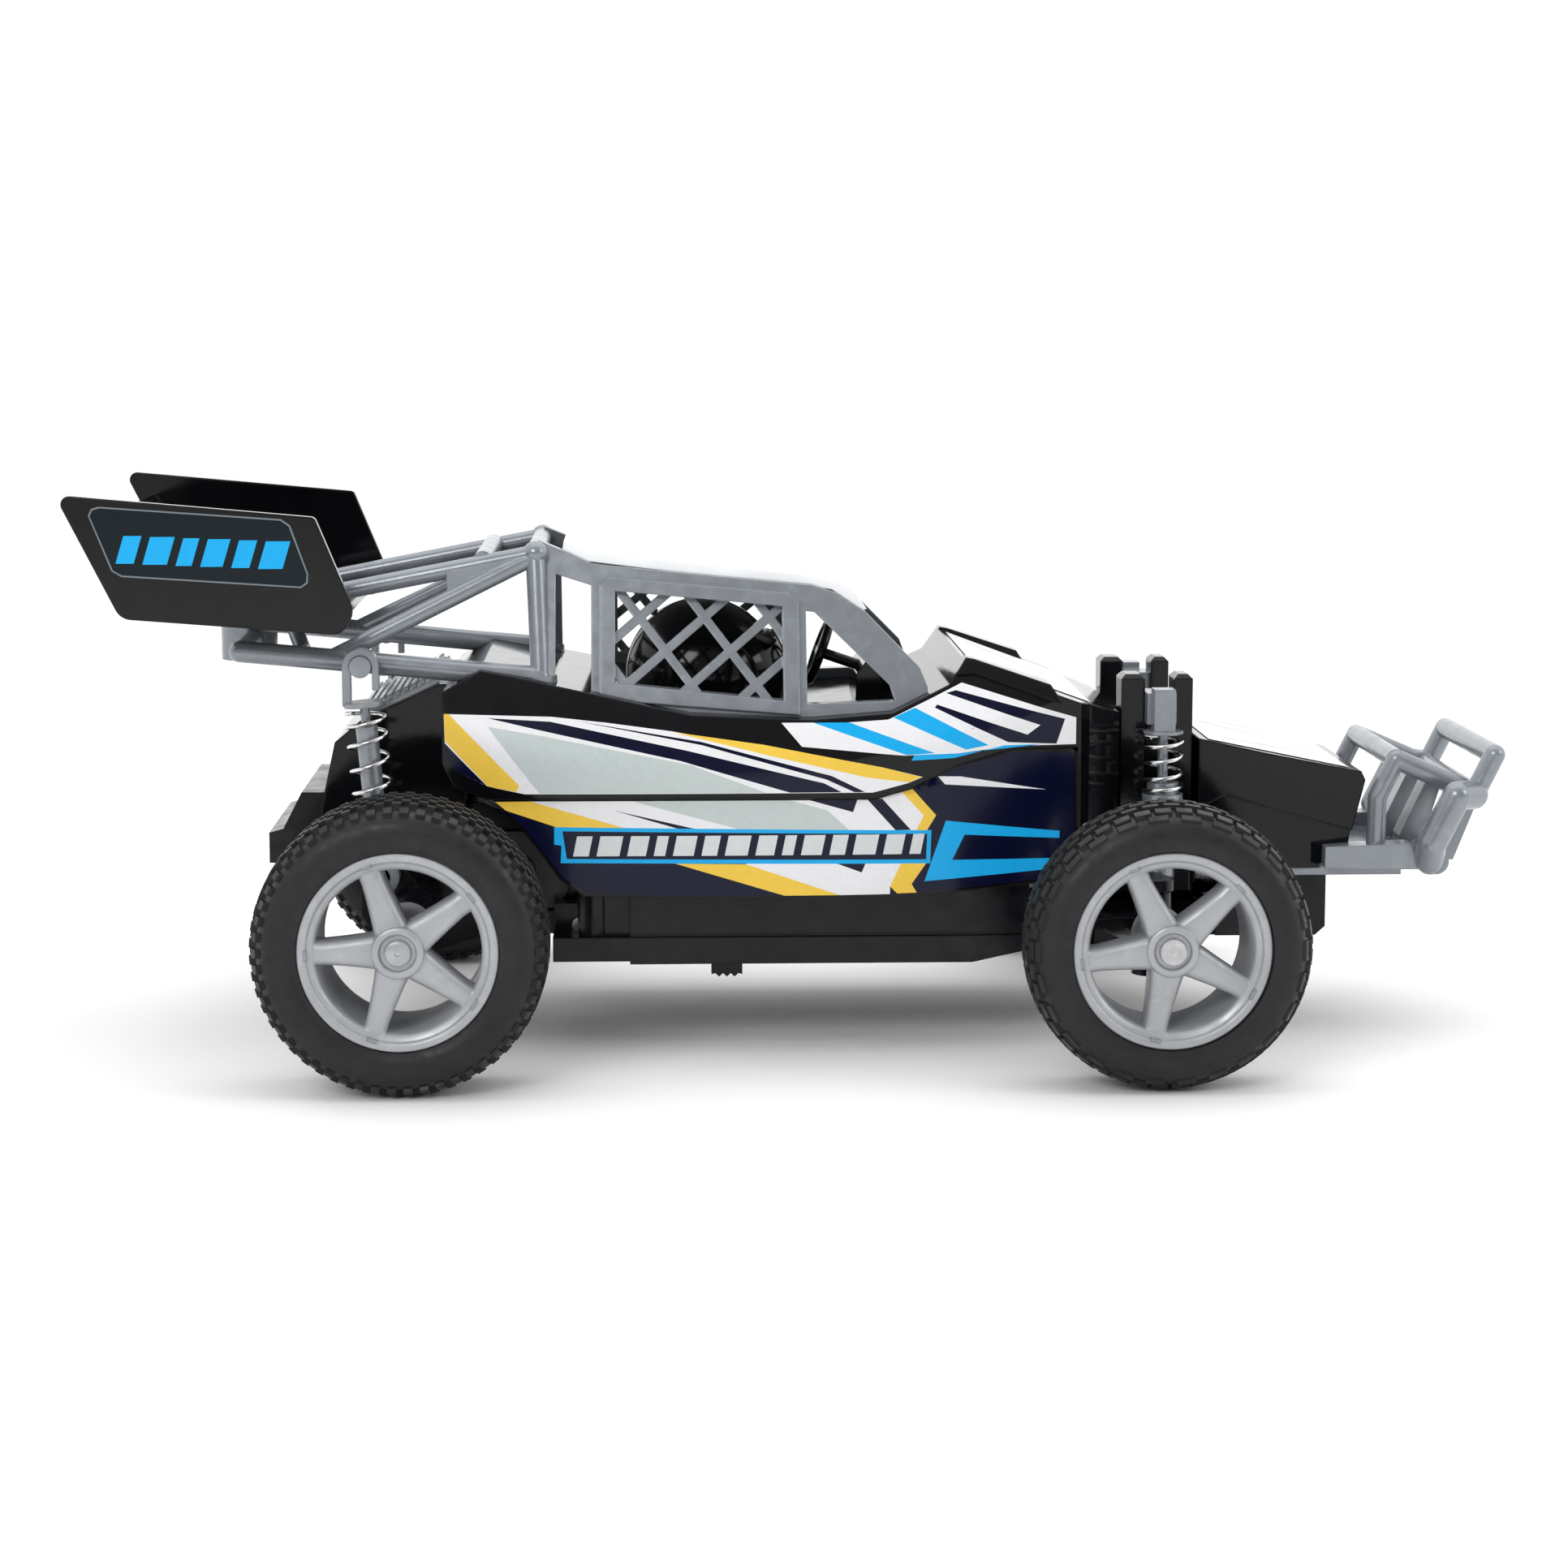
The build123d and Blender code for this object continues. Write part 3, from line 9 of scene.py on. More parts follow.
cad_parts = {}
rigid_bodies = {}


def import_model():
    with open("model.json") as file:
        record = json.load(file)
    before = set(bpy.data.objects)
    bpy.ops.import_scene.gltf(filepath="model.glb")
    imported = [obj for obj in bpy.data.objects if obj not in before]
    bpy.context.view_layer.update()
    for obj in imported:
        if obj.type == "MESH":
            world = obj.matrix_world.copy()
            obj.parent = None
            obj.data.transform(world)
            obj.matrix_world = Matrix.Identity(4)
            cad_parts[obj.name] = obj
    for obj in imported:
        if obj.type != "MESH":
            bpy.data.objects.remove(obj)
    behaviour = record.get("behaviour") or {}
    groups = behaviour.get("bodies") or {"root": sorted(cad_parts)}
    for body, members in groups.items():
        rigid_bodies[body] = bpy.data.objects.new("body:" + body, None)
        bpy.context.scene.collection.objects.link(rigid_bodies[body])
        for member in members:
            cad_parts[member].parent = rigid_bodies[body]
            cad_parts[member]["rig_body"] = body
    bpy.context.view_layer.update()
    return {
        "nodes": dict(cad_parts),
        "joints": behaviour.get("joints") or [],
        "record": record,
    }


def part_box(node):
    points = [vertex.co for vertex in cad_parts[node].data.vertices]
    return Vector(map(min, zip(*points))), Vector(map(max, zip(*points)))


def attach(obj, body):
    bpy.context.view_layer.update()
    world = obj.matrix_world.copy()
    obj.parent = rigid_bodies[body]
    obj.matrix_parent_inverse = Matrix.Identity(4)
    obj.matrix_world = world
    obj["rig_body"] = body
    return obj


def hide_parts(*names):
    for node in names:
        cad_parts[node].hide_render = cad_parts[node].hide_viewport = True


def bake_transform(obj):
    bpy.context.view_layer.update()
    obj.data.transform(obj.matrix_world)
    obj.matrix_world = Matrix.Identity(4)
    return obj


# Looks of the desert buggy: materials for the CAD nodes, treaded tyres, spoked wheels, coiled springs
# and printed labels, with a studio around them. Everything is in the CAD's frame: +X forward, +Y the
# car's left, +Z up. Shapes are given in millimetres and scaled by MM to Blender's metres; materials,
# lights and camera are given in metres.

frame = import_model()
NODES = frame["nodes"]
MM = 0.001
SIDES = (("right", -1), ("left", 1))


# ---- materials ----------------------------------------------------------------------------
class Surface:
    """A principled material with its object coordinates, built up step by step."""

    def __init__(self, name, colour, roughness, **sockets):
        self.material = bpy.data.materials.new(name)
        self.material.use_nodes = True
        self.tree = self.material.node_tree
        self.shader = self.tree.nodes["Principled BSDF"]
        self.shader.inputs["Base Color"].default_value = (*colour, 1.0)
        self.shader.inputs["Roughness"].default_value = roughness
        for socket, value in sockets.items():
            self.shader.inputs[socket.replace("_", " ")].default_value = value
        self.colour = colour
        self.coords = self.tree.nodes.new("ShaderNodeTexCoord").outputs["Object"]

    def link(self, source, target):
        self.tree.links.new(source, target)

    def noise(self, scale, detail=3.0, distortion=0.0, stretch=(1, 1, 1)):
        """A noise value; `scale` is in features per metre."""
        mapping = self.tree.nodes.new("ShaderNodeMapping")
        mapping.inputs["Scale"].default_value = stretch
        noise = self.tree.nodes.new("ShaderNodeTexNoise")
        noise.inputs["Scale"].default_value = scale
        noise.inputs["Detail"].default_value = detail
        noise.inputs["Distortion"].default_value = distortion
        self.link(self.coords, mapping.inputs["Vector"])
        self.link(mapping.outputs["Vector"], noise.inputs["Vector"])
        return noise.outputs["Fac"]

    def ramp(self, value, low, high, from_low=0.35, from_high=0.65):
        """A value remapped to between two numbers."""
        node = self.tree.nodes.new("ShaderNodeMapRange")
        node.inputs["From Min"].default_value = from_low
        node.inputs["From Max"].default_value = from_high
        node.inputs["To Min"].default_value = low
        node.inputs["To Max"].default_value = high
        self.link(value, node.inputs["Value"])
        return node.outputs["Result"]

    def tint(self, value, other):
        """Mixes the base colour towards another by a value from 0 to 1."""
        socket = self.shader.inputs["Base Color"]
        mix = self.tree.nodes.new("ShaderNodeMix")
        mix.data_type = "RGBA"
        if socket.is_linked:
            self.link(socket.links[0].from_socket, mix.inputs["A"])
        else:
            mix.inputs["A"].default_value = (*self.colour, 1.0)
        mix.inputs["B"].default_value = (*other, 1.0)
        self.link(value, mix.inputs["Factor"])
        self.link(mix.outputs["Result"], socket)

    def rough(self, value, low, high):
        """Roughness from a noise value."""
        self.link(self.ramp(value, low, high), self.shader.inputs["Roughness"])

    def bump(self, value, height, edge=None):
        """Fine relief of `height` metres, over edges rounded to a radius of `edge` metres."""
        node = self.tree.nodes.new("ShaderNodeBump")
        node.inputs["Strength"].default_value = 0.6
        node.inputs["Distance"].default_value = height
        self.link(value, node.inputs["Height"])
        if edge:
            rounded = self.tree.nodes.new("ShaderNodeBevel")
            rounded.samples = 4
            rounded.inputs["Radius"].default_value = edge
            self.link(rounded.outputs["Normal"], node.inputs["Normal"])
        self.link(node.outputs["Normal"], self.shader.inputs["Normal"])


def plastic(name, colour, roughness, edge=0.0003, grain=0.00001, **sockets):
    """A moulded plastic: faint mottling, slightly uneven gloss and rounded edges."""
    made = Surface(name, colour, roughness, **sockets)
    lighter = tuple(min(1.0, c * 1.3 + 0.002) for c in colour)
    made.tint(made.ramp(made.noise(55.0, 4.0), 0.0, 0.5), lighter)
    made.rough(made.noise(240.0, 5.0), roughness * 0.75, roughness * 1.3)
    made.bump(made.noise(1500.0, 2.0), grain, edge)
    return made.material


def flowed_silver(name, colour, roughness):
    """Silver-grey moulding with the soft darker swirls that metallic pigment leaves."""
    made = Surface(name, colour, roughness, Metallic=0.4, Specular_IOR_Level=0.5)
    made.tint(made.ramp(made.noise(60.0, 5.0, 1.6), 0.0, 0.4, 0.5, 0.75), tuple(c * 0.7 for c in colour))
    made.tint(made.ramp(made.noise(140.0, 3.0, 2.0), 0.0, 0.3, 0.55, 0.7), tuple(c * 1.35 for c in colour))
    made.rough(made.noise(300.0, 4.0), roughness * 0.8, roughness * 1.25)
    made.bump(made.noise(300.0, 1.0), 0.000004, 0.0004)
    return made.material


def rubber(name, colour):
    """Matte tyre rubber with a fine bloom."""
    made = Surface(name, colour, 0.5, Specular_IOR_Level=0.35)
    made.tint(made.ramp(made.noise(120.0, 6.0), 0.0, 0.35), tuple(c * 2.2 for c in colour))
    made.rough(made.noise(400.0, 5.0), 0.38, 0.6)
    made.bump(made.noise(2600.0, 4.0), 0.00003, 0.0002)
    return made.material


def metal(name, colour, roughness):
    """Plated or drawn metal with fine streaks."""
    made = Surface(name, colour, roughness, Metallic=1.0)
    made.rough(made.noise(900.0, 3.0, 0.0, (1, 6, 1)), roughness * 0.6, roughness * 1.5)
    made.tint(made.ramp(made.noise(160.0, 4.0), 0.0, 0.3), tuple(c * 0.7 for c in colour))
    made.bump(made.noise(3000.0, 2.0), 0.000006, 0.00012)
    return made.material


def print_ink(name, colour, roughness=0.3):
    """A printed label under clear film: even colour, a little orange peel."""
    made = Surface(name, colour, roughness, Specular_IOR_Level=0.22)
    made.tint(made.ramp(made.noise(700.0, 3.0), 0.0, 0.25), tuple(min(1.0, c * 0.86) for c in colour))
    made.rough(made.noise(90.0, 4.0), roughness * 0.7, roughness * 1.3)
    made.bump(made.noise(500.0, 3.0), 0.00001)
    return made.material


MATERIALS = {
    "body_black": plastic(
        "body_black", (0.003, 0.003, 0.004), 0.1, edge=0.0006, grain=0.000003, Specular_IOR_Level=0.25
    ),
    "chassis_black": plastic(
        "chassis_black", (0.004, 0.004, 0.006), 0.24, edge=0.0004, Specular_IOR_Level=0.25
    ),
    "cage_silver": flowed_silver("cage_silver", (0.24, 0.26, 0.285), 0.22),
    "rim_silver": flowed_silver("rim_silver", (0.38, 0.39, 0.41), 0.4),
    "tyre_rubber": rubber("tyre_rubber", (0.007, 0.007, 0.008)),
    "spring_steel": metal("spring_steel", (0.75, 0.75, 0.75), 0.16),
    "steel": metal("steel", (0.5, 0.5, 0.51), 0.3),
    "can_black": plastic("can_black", (0.01, 0.01, 0.011), 0.35),
    "roof_white": plastic("roof_white", (0.78, 0.79, 0.81), 0.25),
    "bush_brass": metal("bush_brass", (0.6, 0.42, 0.2), 0.4),
    "gear_white": plastic("gear_white", (0.7, 0.69, 0.64), 0.45, edge=0.00015),
    "board_green": plastic("board_green", (0.02, 0.16, 0.05), 0.35, edge=0.0002),
    "cell_wrap": plastic("cell_wrap", (0.03, 0.1, 0.35), 0.2),
}
INKS = {
    "white": print_ink("ink_white", (0.78, 0.78, 0.80)),
    "navy": print_ink("ink_navy", (0.003, 0.004, 0.022), 0.16),
    "yellow": print_ink("ink_yellow", (0.83, 0.55, 0.07)),
    "blue": print_ink("ink_blue", (0.008, 0.38, 0.78)),
    "sage": print_ink("ink_sage", (0.50, 0.56, 0.55)),
    "silver": print_ink("ink_silver", (0.62, 0.64, 0.65)),
    "teal": print_ink("ink_teal", (0.001, 0.006, 0.010), 0.15),
    # grey is not a print colour: it is a painted highlight for the edges of the wing's end plates
    "grey": print_ink("painted_edge_highlight", (0.16, 0.19, 0.21), 0.2),
}

for entry in frame["record"]["subparts"]:
    mesh = NODES[entry["node"]].data
    mesh.materials.clear()
    mesh.materials.append(MATERIALS[entry["material_slot"]])


# ---- mesh building ------------------------------------------------------------------------
class Shape:
    """Collects closed pieces of mesh, in millimetres, and makes one object of them."""

    def __init__(self):
        self.points = []
        self.faces = []
        self.paints = []

    def add(self, points, faces, paint=0):
        first = len(self.points)
        self.points += points
        self.faces += [tuple(first + index for index in face) for face in faces]
        self.paints += [paint] * len(faces)

    def loft(self, sections, closed, paint=0):
        """Joins equal rings of points; `closed` joins the last to the first, else both ends are capped."""
        count = len(sections[0])
        rings = len(sections)
        faces = []
        for k in range(rings if closed else rings - 1):
            here = k * count
            there = (k + 1) % rings * count
            for i in range(count):
                after = (i + 1) % count
                faces.append((here + i, here + after, there + after, there + i))
        if not closed:
            faces += [tuple(range(count)), tuple(range((rings - 1) * count, rings * count))]
        self.add([point for section in sections for point in section], faces, paint)

    def block(self, centre, axes, base, top, depth, height, paint=0):
        """A block standing on `centre`; axes are across, along and up; base and top are half sizes."""
        across, along, up = axes
        sections = [
            [
                centre + across * (a * size[0]) + along * (b * size[1]) + up * rise
                for a, b in ((-1, -1), (1, -1), (1, 1), (-1, 1))
            ]
            for size, rise in ((base, -depth), (top, height))
        ]
        self.loft(sections, False, paint)

    def make(self, name, materials, smooth=35.0):
        mesh = bpy.data.meshes.new(name)
        mesh.from_pydata([Vector(point) * MM for point in self.points], [], self.faces)
        for material in materials:
            mesh.materials.append(material)
        for polygon, paint in zip(mesh.polygons, self.paints):
            polygon.material_index = paint
        work = bmesh.new()
        work.from_mesh(mesh)
        bmesh.ops.recalc_face_normals(work, faces=work.faces)
        work.to_mesh(mesh)
        work.free()
        mesh.polygons.foreach_set("use_smooth", [True] * len(mesh.polygons))
        mesh.set_sharp_from_angle(angle=radians(smooth))
        made = bpy.data.objects.new(name, mesh)
        bpy.context.scene.collection.objects.link(made)
        return made


# ---- wheels -------------------------------------------------------------------------------
WHEEL_FACE = 78.0  # |y| of the outer face of all four wheels
RIM_R = 18.5  # the outer radius of a rim's barrel
HUMP_R = 16.9  # the radius of the bead seats at the barrel's ends
SPOKES = 5
REAR = {"name": "rear", "width": 23.0, "first_spoke": 37.0, "hub_depth": 27.0}
FRONT = {"name": "front", "width": 19.0, "first_spoke": 43.5, "hub_depth": 21.4}
SHOULDER_R = 27.6  # the outer radius of the tyre that the SHOULDER points belong to
SHOULDER = [  # depth and radius, from the bead to the tread
    (0.45, 19.4), (0.15, 20.6), (0.1, 22.0), (0.3, 23.3),
    (0.8, 24.4), (1.6, 25.2), (2.6, 25.8), (4.2, 26.25),
]  # fmt: skip
CROWN_R = 26.5


class Wheel:
    """One wheel's place: its centre and radius come from the CAD tyre."""

    def __init__(self, kind, side, s):
        low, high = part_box(f"{kind['name']}_tyre_{side}")
        self.x = (low.x + high.x) / 2 / MM
        self.z = (low.z + high.z) / 2 / MM
        self.outer_r = (high.x - low.x) / 2 / MM
        self.s = s
        self.side = side
        self.kind = kind
        self.body = NODES[f"{kind['name']}_tyre_{side}"]["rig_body"]

    def at(self, radius, depth, angle):
        """A point at a radius, a depth behind the outer face, and an angle from +X towards +Z."""
        y = self.s * (WHEEL_FACE - depth)
        return Vector((self.x + radius * cos(angle), y, self.z + radius * sin(angle)))

    def lathe(self, shape, profile, segments, paint=0):
        """A closed profile of (radius, depth) turned about the axle."""
        angles = [2 * pi * k / segments for k in range(segments)]
        shape.loft([[self.at(r, d, angle) for r, d in profile] for angle in angles], True, paint)

    def finish(self, shape, part, materials, slot, smooth=35.0):
        node = f"{self.kind['name']}_{part}_{self.side}"
        made = shape.make("look_" + node, materials, smooth)
        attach(made, self.body)
        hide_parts(node)

    def knob(self, shape, crown, depth, angle, half, height):
        """A tread block on the crown curve; half sizes are along the turn and across the tread."""
        step = 0.2
        before = self.at(crown(depth - step), depth - step, angle)
        here = self.at(crown(depth), depth, angle)
        after = self.at(crown(depth + step), depth + step, angle)
        across = (after - before).normalized()
        along = Vector((-sin(angle), 0.0, cos(angle)))
        up = across.cross(along)
        if up.dot(Vector((cos(angle), 0.0, sin(angle)))) < 0:
            up = -up
        taper, root = 0.86, 0.5
        top = (half[0] * taper, half[1] * taper)
        shape.block(here, (along, across, up), half, top, root, height)


def crown_curve(points):
    """A function giving the radius at a depth, between (depth, radius) points."""

    def radius(depth):
        for (d0, r0), (d1, r1) in zip(points, points[1:]):
            if depth <= d1:
                return r0 + (r1 - r0) * (depth - d0) / (d1 - d0)
        return points[-1][1]

    return radius


def carcass_profile(outer_r, width):
    """The closed section of a tyre without its tread, as (radius, depth) pairs, and its crown."""
    growth = outer_r - SHOULDER_R
    outside = [(d, r + growth) for d, r in SHOULDER]
    inside = [(width - d, r) for d, r in reversed(outside)]
    crown = outside + [(width / 2, CROWN_R + growth)] + inside
    bead_r = RIM_R + 0.05
    front_bead = [(HUMP_R, 2.7), (bead_r, 2.7), (bead_r, 1.1)]
    back_bead = [(bead_r, width - 0.9), (HUMP_R, width - 0.9)]
    return front_bead + [(r, d) for d, r in crown] + back_bead, crown_curve(crown)


def rear_tyre(wheel):
    """Eight staggered rows of small square knobs."""
    shape = Shape()
    profile, crown = carcass_profile(wheel.outer_r, wheel.kind["width"])
    wheel.lathe(shape, profile, 96)
    rows, row_pitch, count = 8, 2.6, 54
    for row in range(rows):
        depth = wheel.kind["width"] / 2 + (row - (rows - 1) / 2) * row_pitch
        height = 0.75 if row in (0, rows - 1) else 1.05
        for k in range(count):
            angle = 2 * pi * (k + 0.5 * (row % 2)) / count
            wheel.knob(shape, crown, depth, angle, (0.95, 0.9), height)
    wheel.finish(shape, "tyre", [MATERIALS["tyre_rubber"]], "tyre_rubber", 30.0)


def front_tyre(wheel):
    """Five ribs cut across into blocks, and a ring of long lugs on each shoulder."""
    shape = Shape()
    profile, crown = carcass_profile(wheel.outer_r, wheel.kind["width"])
    wheel.lathe(shape, profile, 96)
    middle = wheel.kind["width"] / 2
    rib_pitch, blocks = 2.9, 42
    for rib in range(-2, 3):
        height = 1.05 if abs(rib) < 2 else 0.7
        for k in range(blocks):
            angle = 2 * pi * (k + 0.5 * (rib % 2)) / blocks
            wheel.knob(shape, crown, middle + rib_pitch * rib, angle, (1.7, 1.05), height)
    inset, lugs = 1.9, 26
    for depth in (inset, 2 * middle - inset):
        for k in range(lugs):
            wheel.knob(shape, crown, depth, 2 * pi * k / lugs, (2.1, 0.85), 0.35)
    wheel.finish(shape, "tyre", [MATERIALS["tyre_rubber"]], "tyre_rubber", 30.0)


def spoke(wheel, shape, angle):
    """A spoke narrowing outwards, with rounded front edges, and a small mark on the lip at its end."""
    along = Vector((cos(angle), 0.0, sin(angle)))
    across = Vector((-sin(angle), 0.0, cos(angle)))
    inward = Vector((0.0, -wheel.s, 0.0))
    back = 8.2
    edge = [(0.0, 1.1), (0.3, 0.5), (0.9, 0.1), (1.5, 0.0)]  # in from the side, and behind the face
    stations = ((3.6, 3.2, 1.9), (6.5, 2.8, 2.0), (10.0, 2.4, 2.1), (13.5, 2.1, 2.2), (15.6, 2.2, 2.3))
    sections = []
    for radius, half, face in stations:
        base = wheel.at(0.0, 0.0, 0.0) + along * radius
        outline = [(-half, back)] + [(-half + turn, face + fall) for turn, fall in edge]
        outline += [(half - turn, face + fall) for turn, fall in reversed(edge)] + [(half, back)]
        sections.append([base + across * w + inward * d for w, d in outline])
    shape.loft(sections, False)
    mark_half = (1.0, 0.35)
    mark = wheel.at(16.85, 1.15, angle)
    shape.block(mark, (across, along, -inward), mark_half, mark_half, 0.5, 0.12, 1)


def rim(wheel):
    """A dished wheel: stepped lip, barrel, spokes, and a hub with a centre cap."""
    shape = Shape()
    width = wheel.kind["width"]
    barrel = [
        (RIM_R, 2.7), (RIM_R, 1.5), (18.25, 1.15), (17.2, 1.1), (16.85, 1.3), (16.6, 1.9), (15.7, 2.2),
        (15.25, 2.9), (15.2, width + 0.1), (18.45, width + 0.1), (18.45, width - 1.2),
        (HUMP_R, width - 1.2), (HUMP_R, 2.7),
    ]  # fmt: skip
    wheel.lathe(shape, barrel, 96)
    cap_r, stub_r, hub_depth = 0.4, 1.6, wheel.kind["hub_depth"]
    hub = [
        (cap_r, 0.45), (1.9, 0.45), (2.3, 0.65), (2.45, 1.0), (2.5, 1.7), (3.3, 1.7), (3.45, 1.1),
        (3.6, 0.95), (4.4, 0.95), (4.75, 1.2), (4.85, 2.0), (5.0, 2.3), (5.0, hub_depth),
        (stub_r, hub_depth), (stub_r, 2.0), (cap_r, 1.8),
    ]  # fmt: skip
    wheel.lathe(shape, hub, 48)
    for k in range(SPOKES):
        spoke(wheel, shape, radians(wheel.kind["first_spoke"] + 360.0 / SPOKES * k))
    wheel.finish(shape, "rim", [MATERIALS["rim_silver"], MATERIALS["cage_silver"]], "rim_silver", 40.0)


for side, s in SIDES:
    for kind, tread in ((REAR, rear_tyre), (FRONT, front_tyre)):
        wheel = Wheel(kind, side, s)
        tread(wheel)
        rim(wheel)


# ---- springs ------------------------------------------------------------------------------
SPRING_R = 3.75
WIRE_R = 0.42
FRONT_TURNS = 4.2
REAR_TURNS = 5.6
END_CLOSING = 0.35  # how much closer together the turns lie at the ends
SHOCK_EYE = Vector((-85.3, 0.0, 75.8))  # the rear shocks' line, seen from the side
SHOCK_FOOT = Vector((-82.0, 0.0, 35.0))


def coil(name, start, end, turns):
    """A wire wound about the line from start to end, its ends drawn flat."""
    axis = end - start
    length = axis.length
    up = axis.normalized()
    u = up.orthogonal().normalized()
    v = up.cross(u)
    per_turn, around = 28, 8
    steps = int(turns * per_turn)
    sections = []
    for k in range(steps + 1):
        turn = 2 * pi * k / per_turn
        share = k / steps
        eased = share - END_CLOSING * sin(2 * pi * share) / (2 * pi)
        out = u * cos(turn) + v * sin(turn)
        centre = start + up * (WIRE_R + (length - 2 * WIRE_R) * eased) + out * SPRING_R
        ring = [2 * pi * j / around for j in range(around)]
        sections.append([centre + out * (WIRE_R * cos(a)) + up * (WIRE_R * sin(a)) for a in ring])
    shape = Shape()
    shape.loft(sections, False)
    return shape.make(name, [MATERIALS["spring_steel"]], 60.0)


def spring_ends(node):
    """The two ends of a spring's axis, from its CAD box and, for the rear ones, the shock's line."""
    low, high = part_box(node)
    y = (low.y + high.y) / 2 / MM
    if node.startswith("front"):
        x = (low.x + high.x) / 2 / MM
        return Vector((x, y, high.z / MM)), Vector((x, y, low.z / MM))
    line = (SHOCK_FOOT - SHOCK_EYE).normalized()
    tilt = SPRING_R * abs(line.x)
    ends = []
    for z in (high.z / MM - tilt, low.z / MM + tilt):
        point = SHOCK_EYE + line * ((z - SHOCK_EYE.z) / line.z)
        ends.append(Vector((point.x, y, point.z)))
    return ends


for joint in frame["joints"]:
    for soft in joint.get("deforming_nodes") or []:
        node = soft["node"]
        top, bottom = spring_ends(node)
        made = coil("look_" + node, top, bottom, FRONT_TURNS if node.startswith("front") else REAR_TURNS)
        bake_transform(made)
        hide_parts(node)


# ---- labels -------------------------------------------------------------------------------
LABEL_CELL = 1.5  # the grid that bends with the surface
LABEL_LIFT = 0.15
LABEL_START = 200.0  # from how far outside the surface is looked for
LABEL_DEEPEST = 15.0  # a surface nearer the middle than this is the far wall


def surface_of(node):
    """A search tree of a CAD node's faces."""
    mesh = NODES[node].data
    return BVHTree.FromPolygons([v.co for v in mesh.vertices], [p.vertices for p in mesh.polygons])


def encloses(outline, a, b):
    """Whether a closed outline goes round a point."""
    within = False
    for (a0, b0), (a1, b1) in zip(outline, outline[1:] + outline[:1]):
        if (b0 > b) != (b1 > b) and a < a0 + (b - b0) / (b1 - b0) * (a1 - a0):
            within = not within
    return within


def printed_sheet(layers, across):
    """A flat sheet cut along every outline, each face painted with the last ink laid over it."""
    cell = LABEL_CELL
    sheet = bmesh.new()
    spans = []
    for column in (0, 1):
        spread = [point[column] for _, outline in layers for point in outline]
        spans.append(range(floor(min(spread) / cell), ceil(max(spread) / cell) + 1))
    corners = {}
    for i in spans[0]:
        for j in spans[1]:
            corner = Vector((i * cell, 0.0, 0.0))
            corner[across] = j * cell
            corners[i, j] = sheet.verts.new(corner)
    for i in spans[0][:-1]:
        for j in spans[1][:-1]:
            sheet.faces.new([corners[i, j], corners[i + 1, j], corners[i + 1, j + 1], corners[i, j + 1]])
    for _, outline in layers:
        for (a0, b0), (a1, b1) in zip(outline, outline[1:] + outline[:1]):
            near = set()
            for face in sheet.faces:
                centre = face.calc_center_median()
                beside = min(a0, a1) - cell < centre[0] < max(a0, a1) + cell
                level = min(b0, b1) - cell < centre[across] < max(b0, b1) + cell
                if beside and level:
                    near.update((face, *face.verts, *face.edges))
            point, normal = Vector((a0, 0.0, 0.0)), Vector((b0 - b1, 0.0, 0.0))
            point[across], normal[across] = b0, a1 - a0
            normal.normalize()
            bmesh.ops.bisect_plane(sheet, geom=list(near), dist=0.0005, plane_co=point, plane_no=normal)
    inks = sorted({ink for ink, _ in layers})
    bare = []
    for face in sheet.faces:
        centre = face.calc_center_median()
        over = [ink for ink, outline in layers if encloses(outline, centre[0], centre[across])]
        if over:
            face.material_index = inks.index(over[-1])
        else:
            bare.append(face)
    bmesh.ops.delete(sheet, geom=bare, context="FACES")
    return sheet, inks


def label(name, node, s, layers):
    """A label laid on a node: outlines in x and z on side s, or in x and y from above where s is 0."""
    tree = surface_of(node)
    outward = Vector((0, s, 0)) if s else Vector((0, 0, 1))
    sheet, inks = printed_sheet(layers, 2 if s else 1)
    missed = []
    for vert in sheet.verts:
        hit = tree.ray_cast((vert.co + outward * LABEL_START) * MM, -outward)[0]
        if hit is None or hit.dot(outward) < LABEL_DEEPEST * MM:
            missed.append(vert)
        else:
            vert.co = hit / MM + outward * LABEL_LIFT
    bmesh.ops.delete(sheet, geom=missed, context="VERTS")
    for vert in sheet.verts:
        vert.co *= MM
    for face in sheet.faces:
        face.smooth = True
        face.normal_update()
        if face.normal.dot(outward) < 0:
            face.normal_flip()
    mesh = bpy.data.meshes.new(name)
    for ink in inks:
        mesh.materials.append(INKS[ink])
    sheet.to_mesh(mesh)
    sheet.free()
    made = bpy.data.objects.new(name, mesh)
    bpy.context.scene.collection.objects.link(made)
    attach(made, "chassis")


def slanted_bars(first, last, low, high, widths, gap, slant, fall=0.0):
    """A row of leaning bars in place of lettering, on a line that falls by `fall` per millimetre."""
    bars = []
    x = first
    while x < last:
        width = widths[len(bars) % len(widths)]
        drop = fall * (x - first)
        foot, head = low + drop, high + drop
        bars.append([(x, foot), (x + width, foot), (x + width + slant, head), (x + slant, head)])
        x += width + gap
    return bars


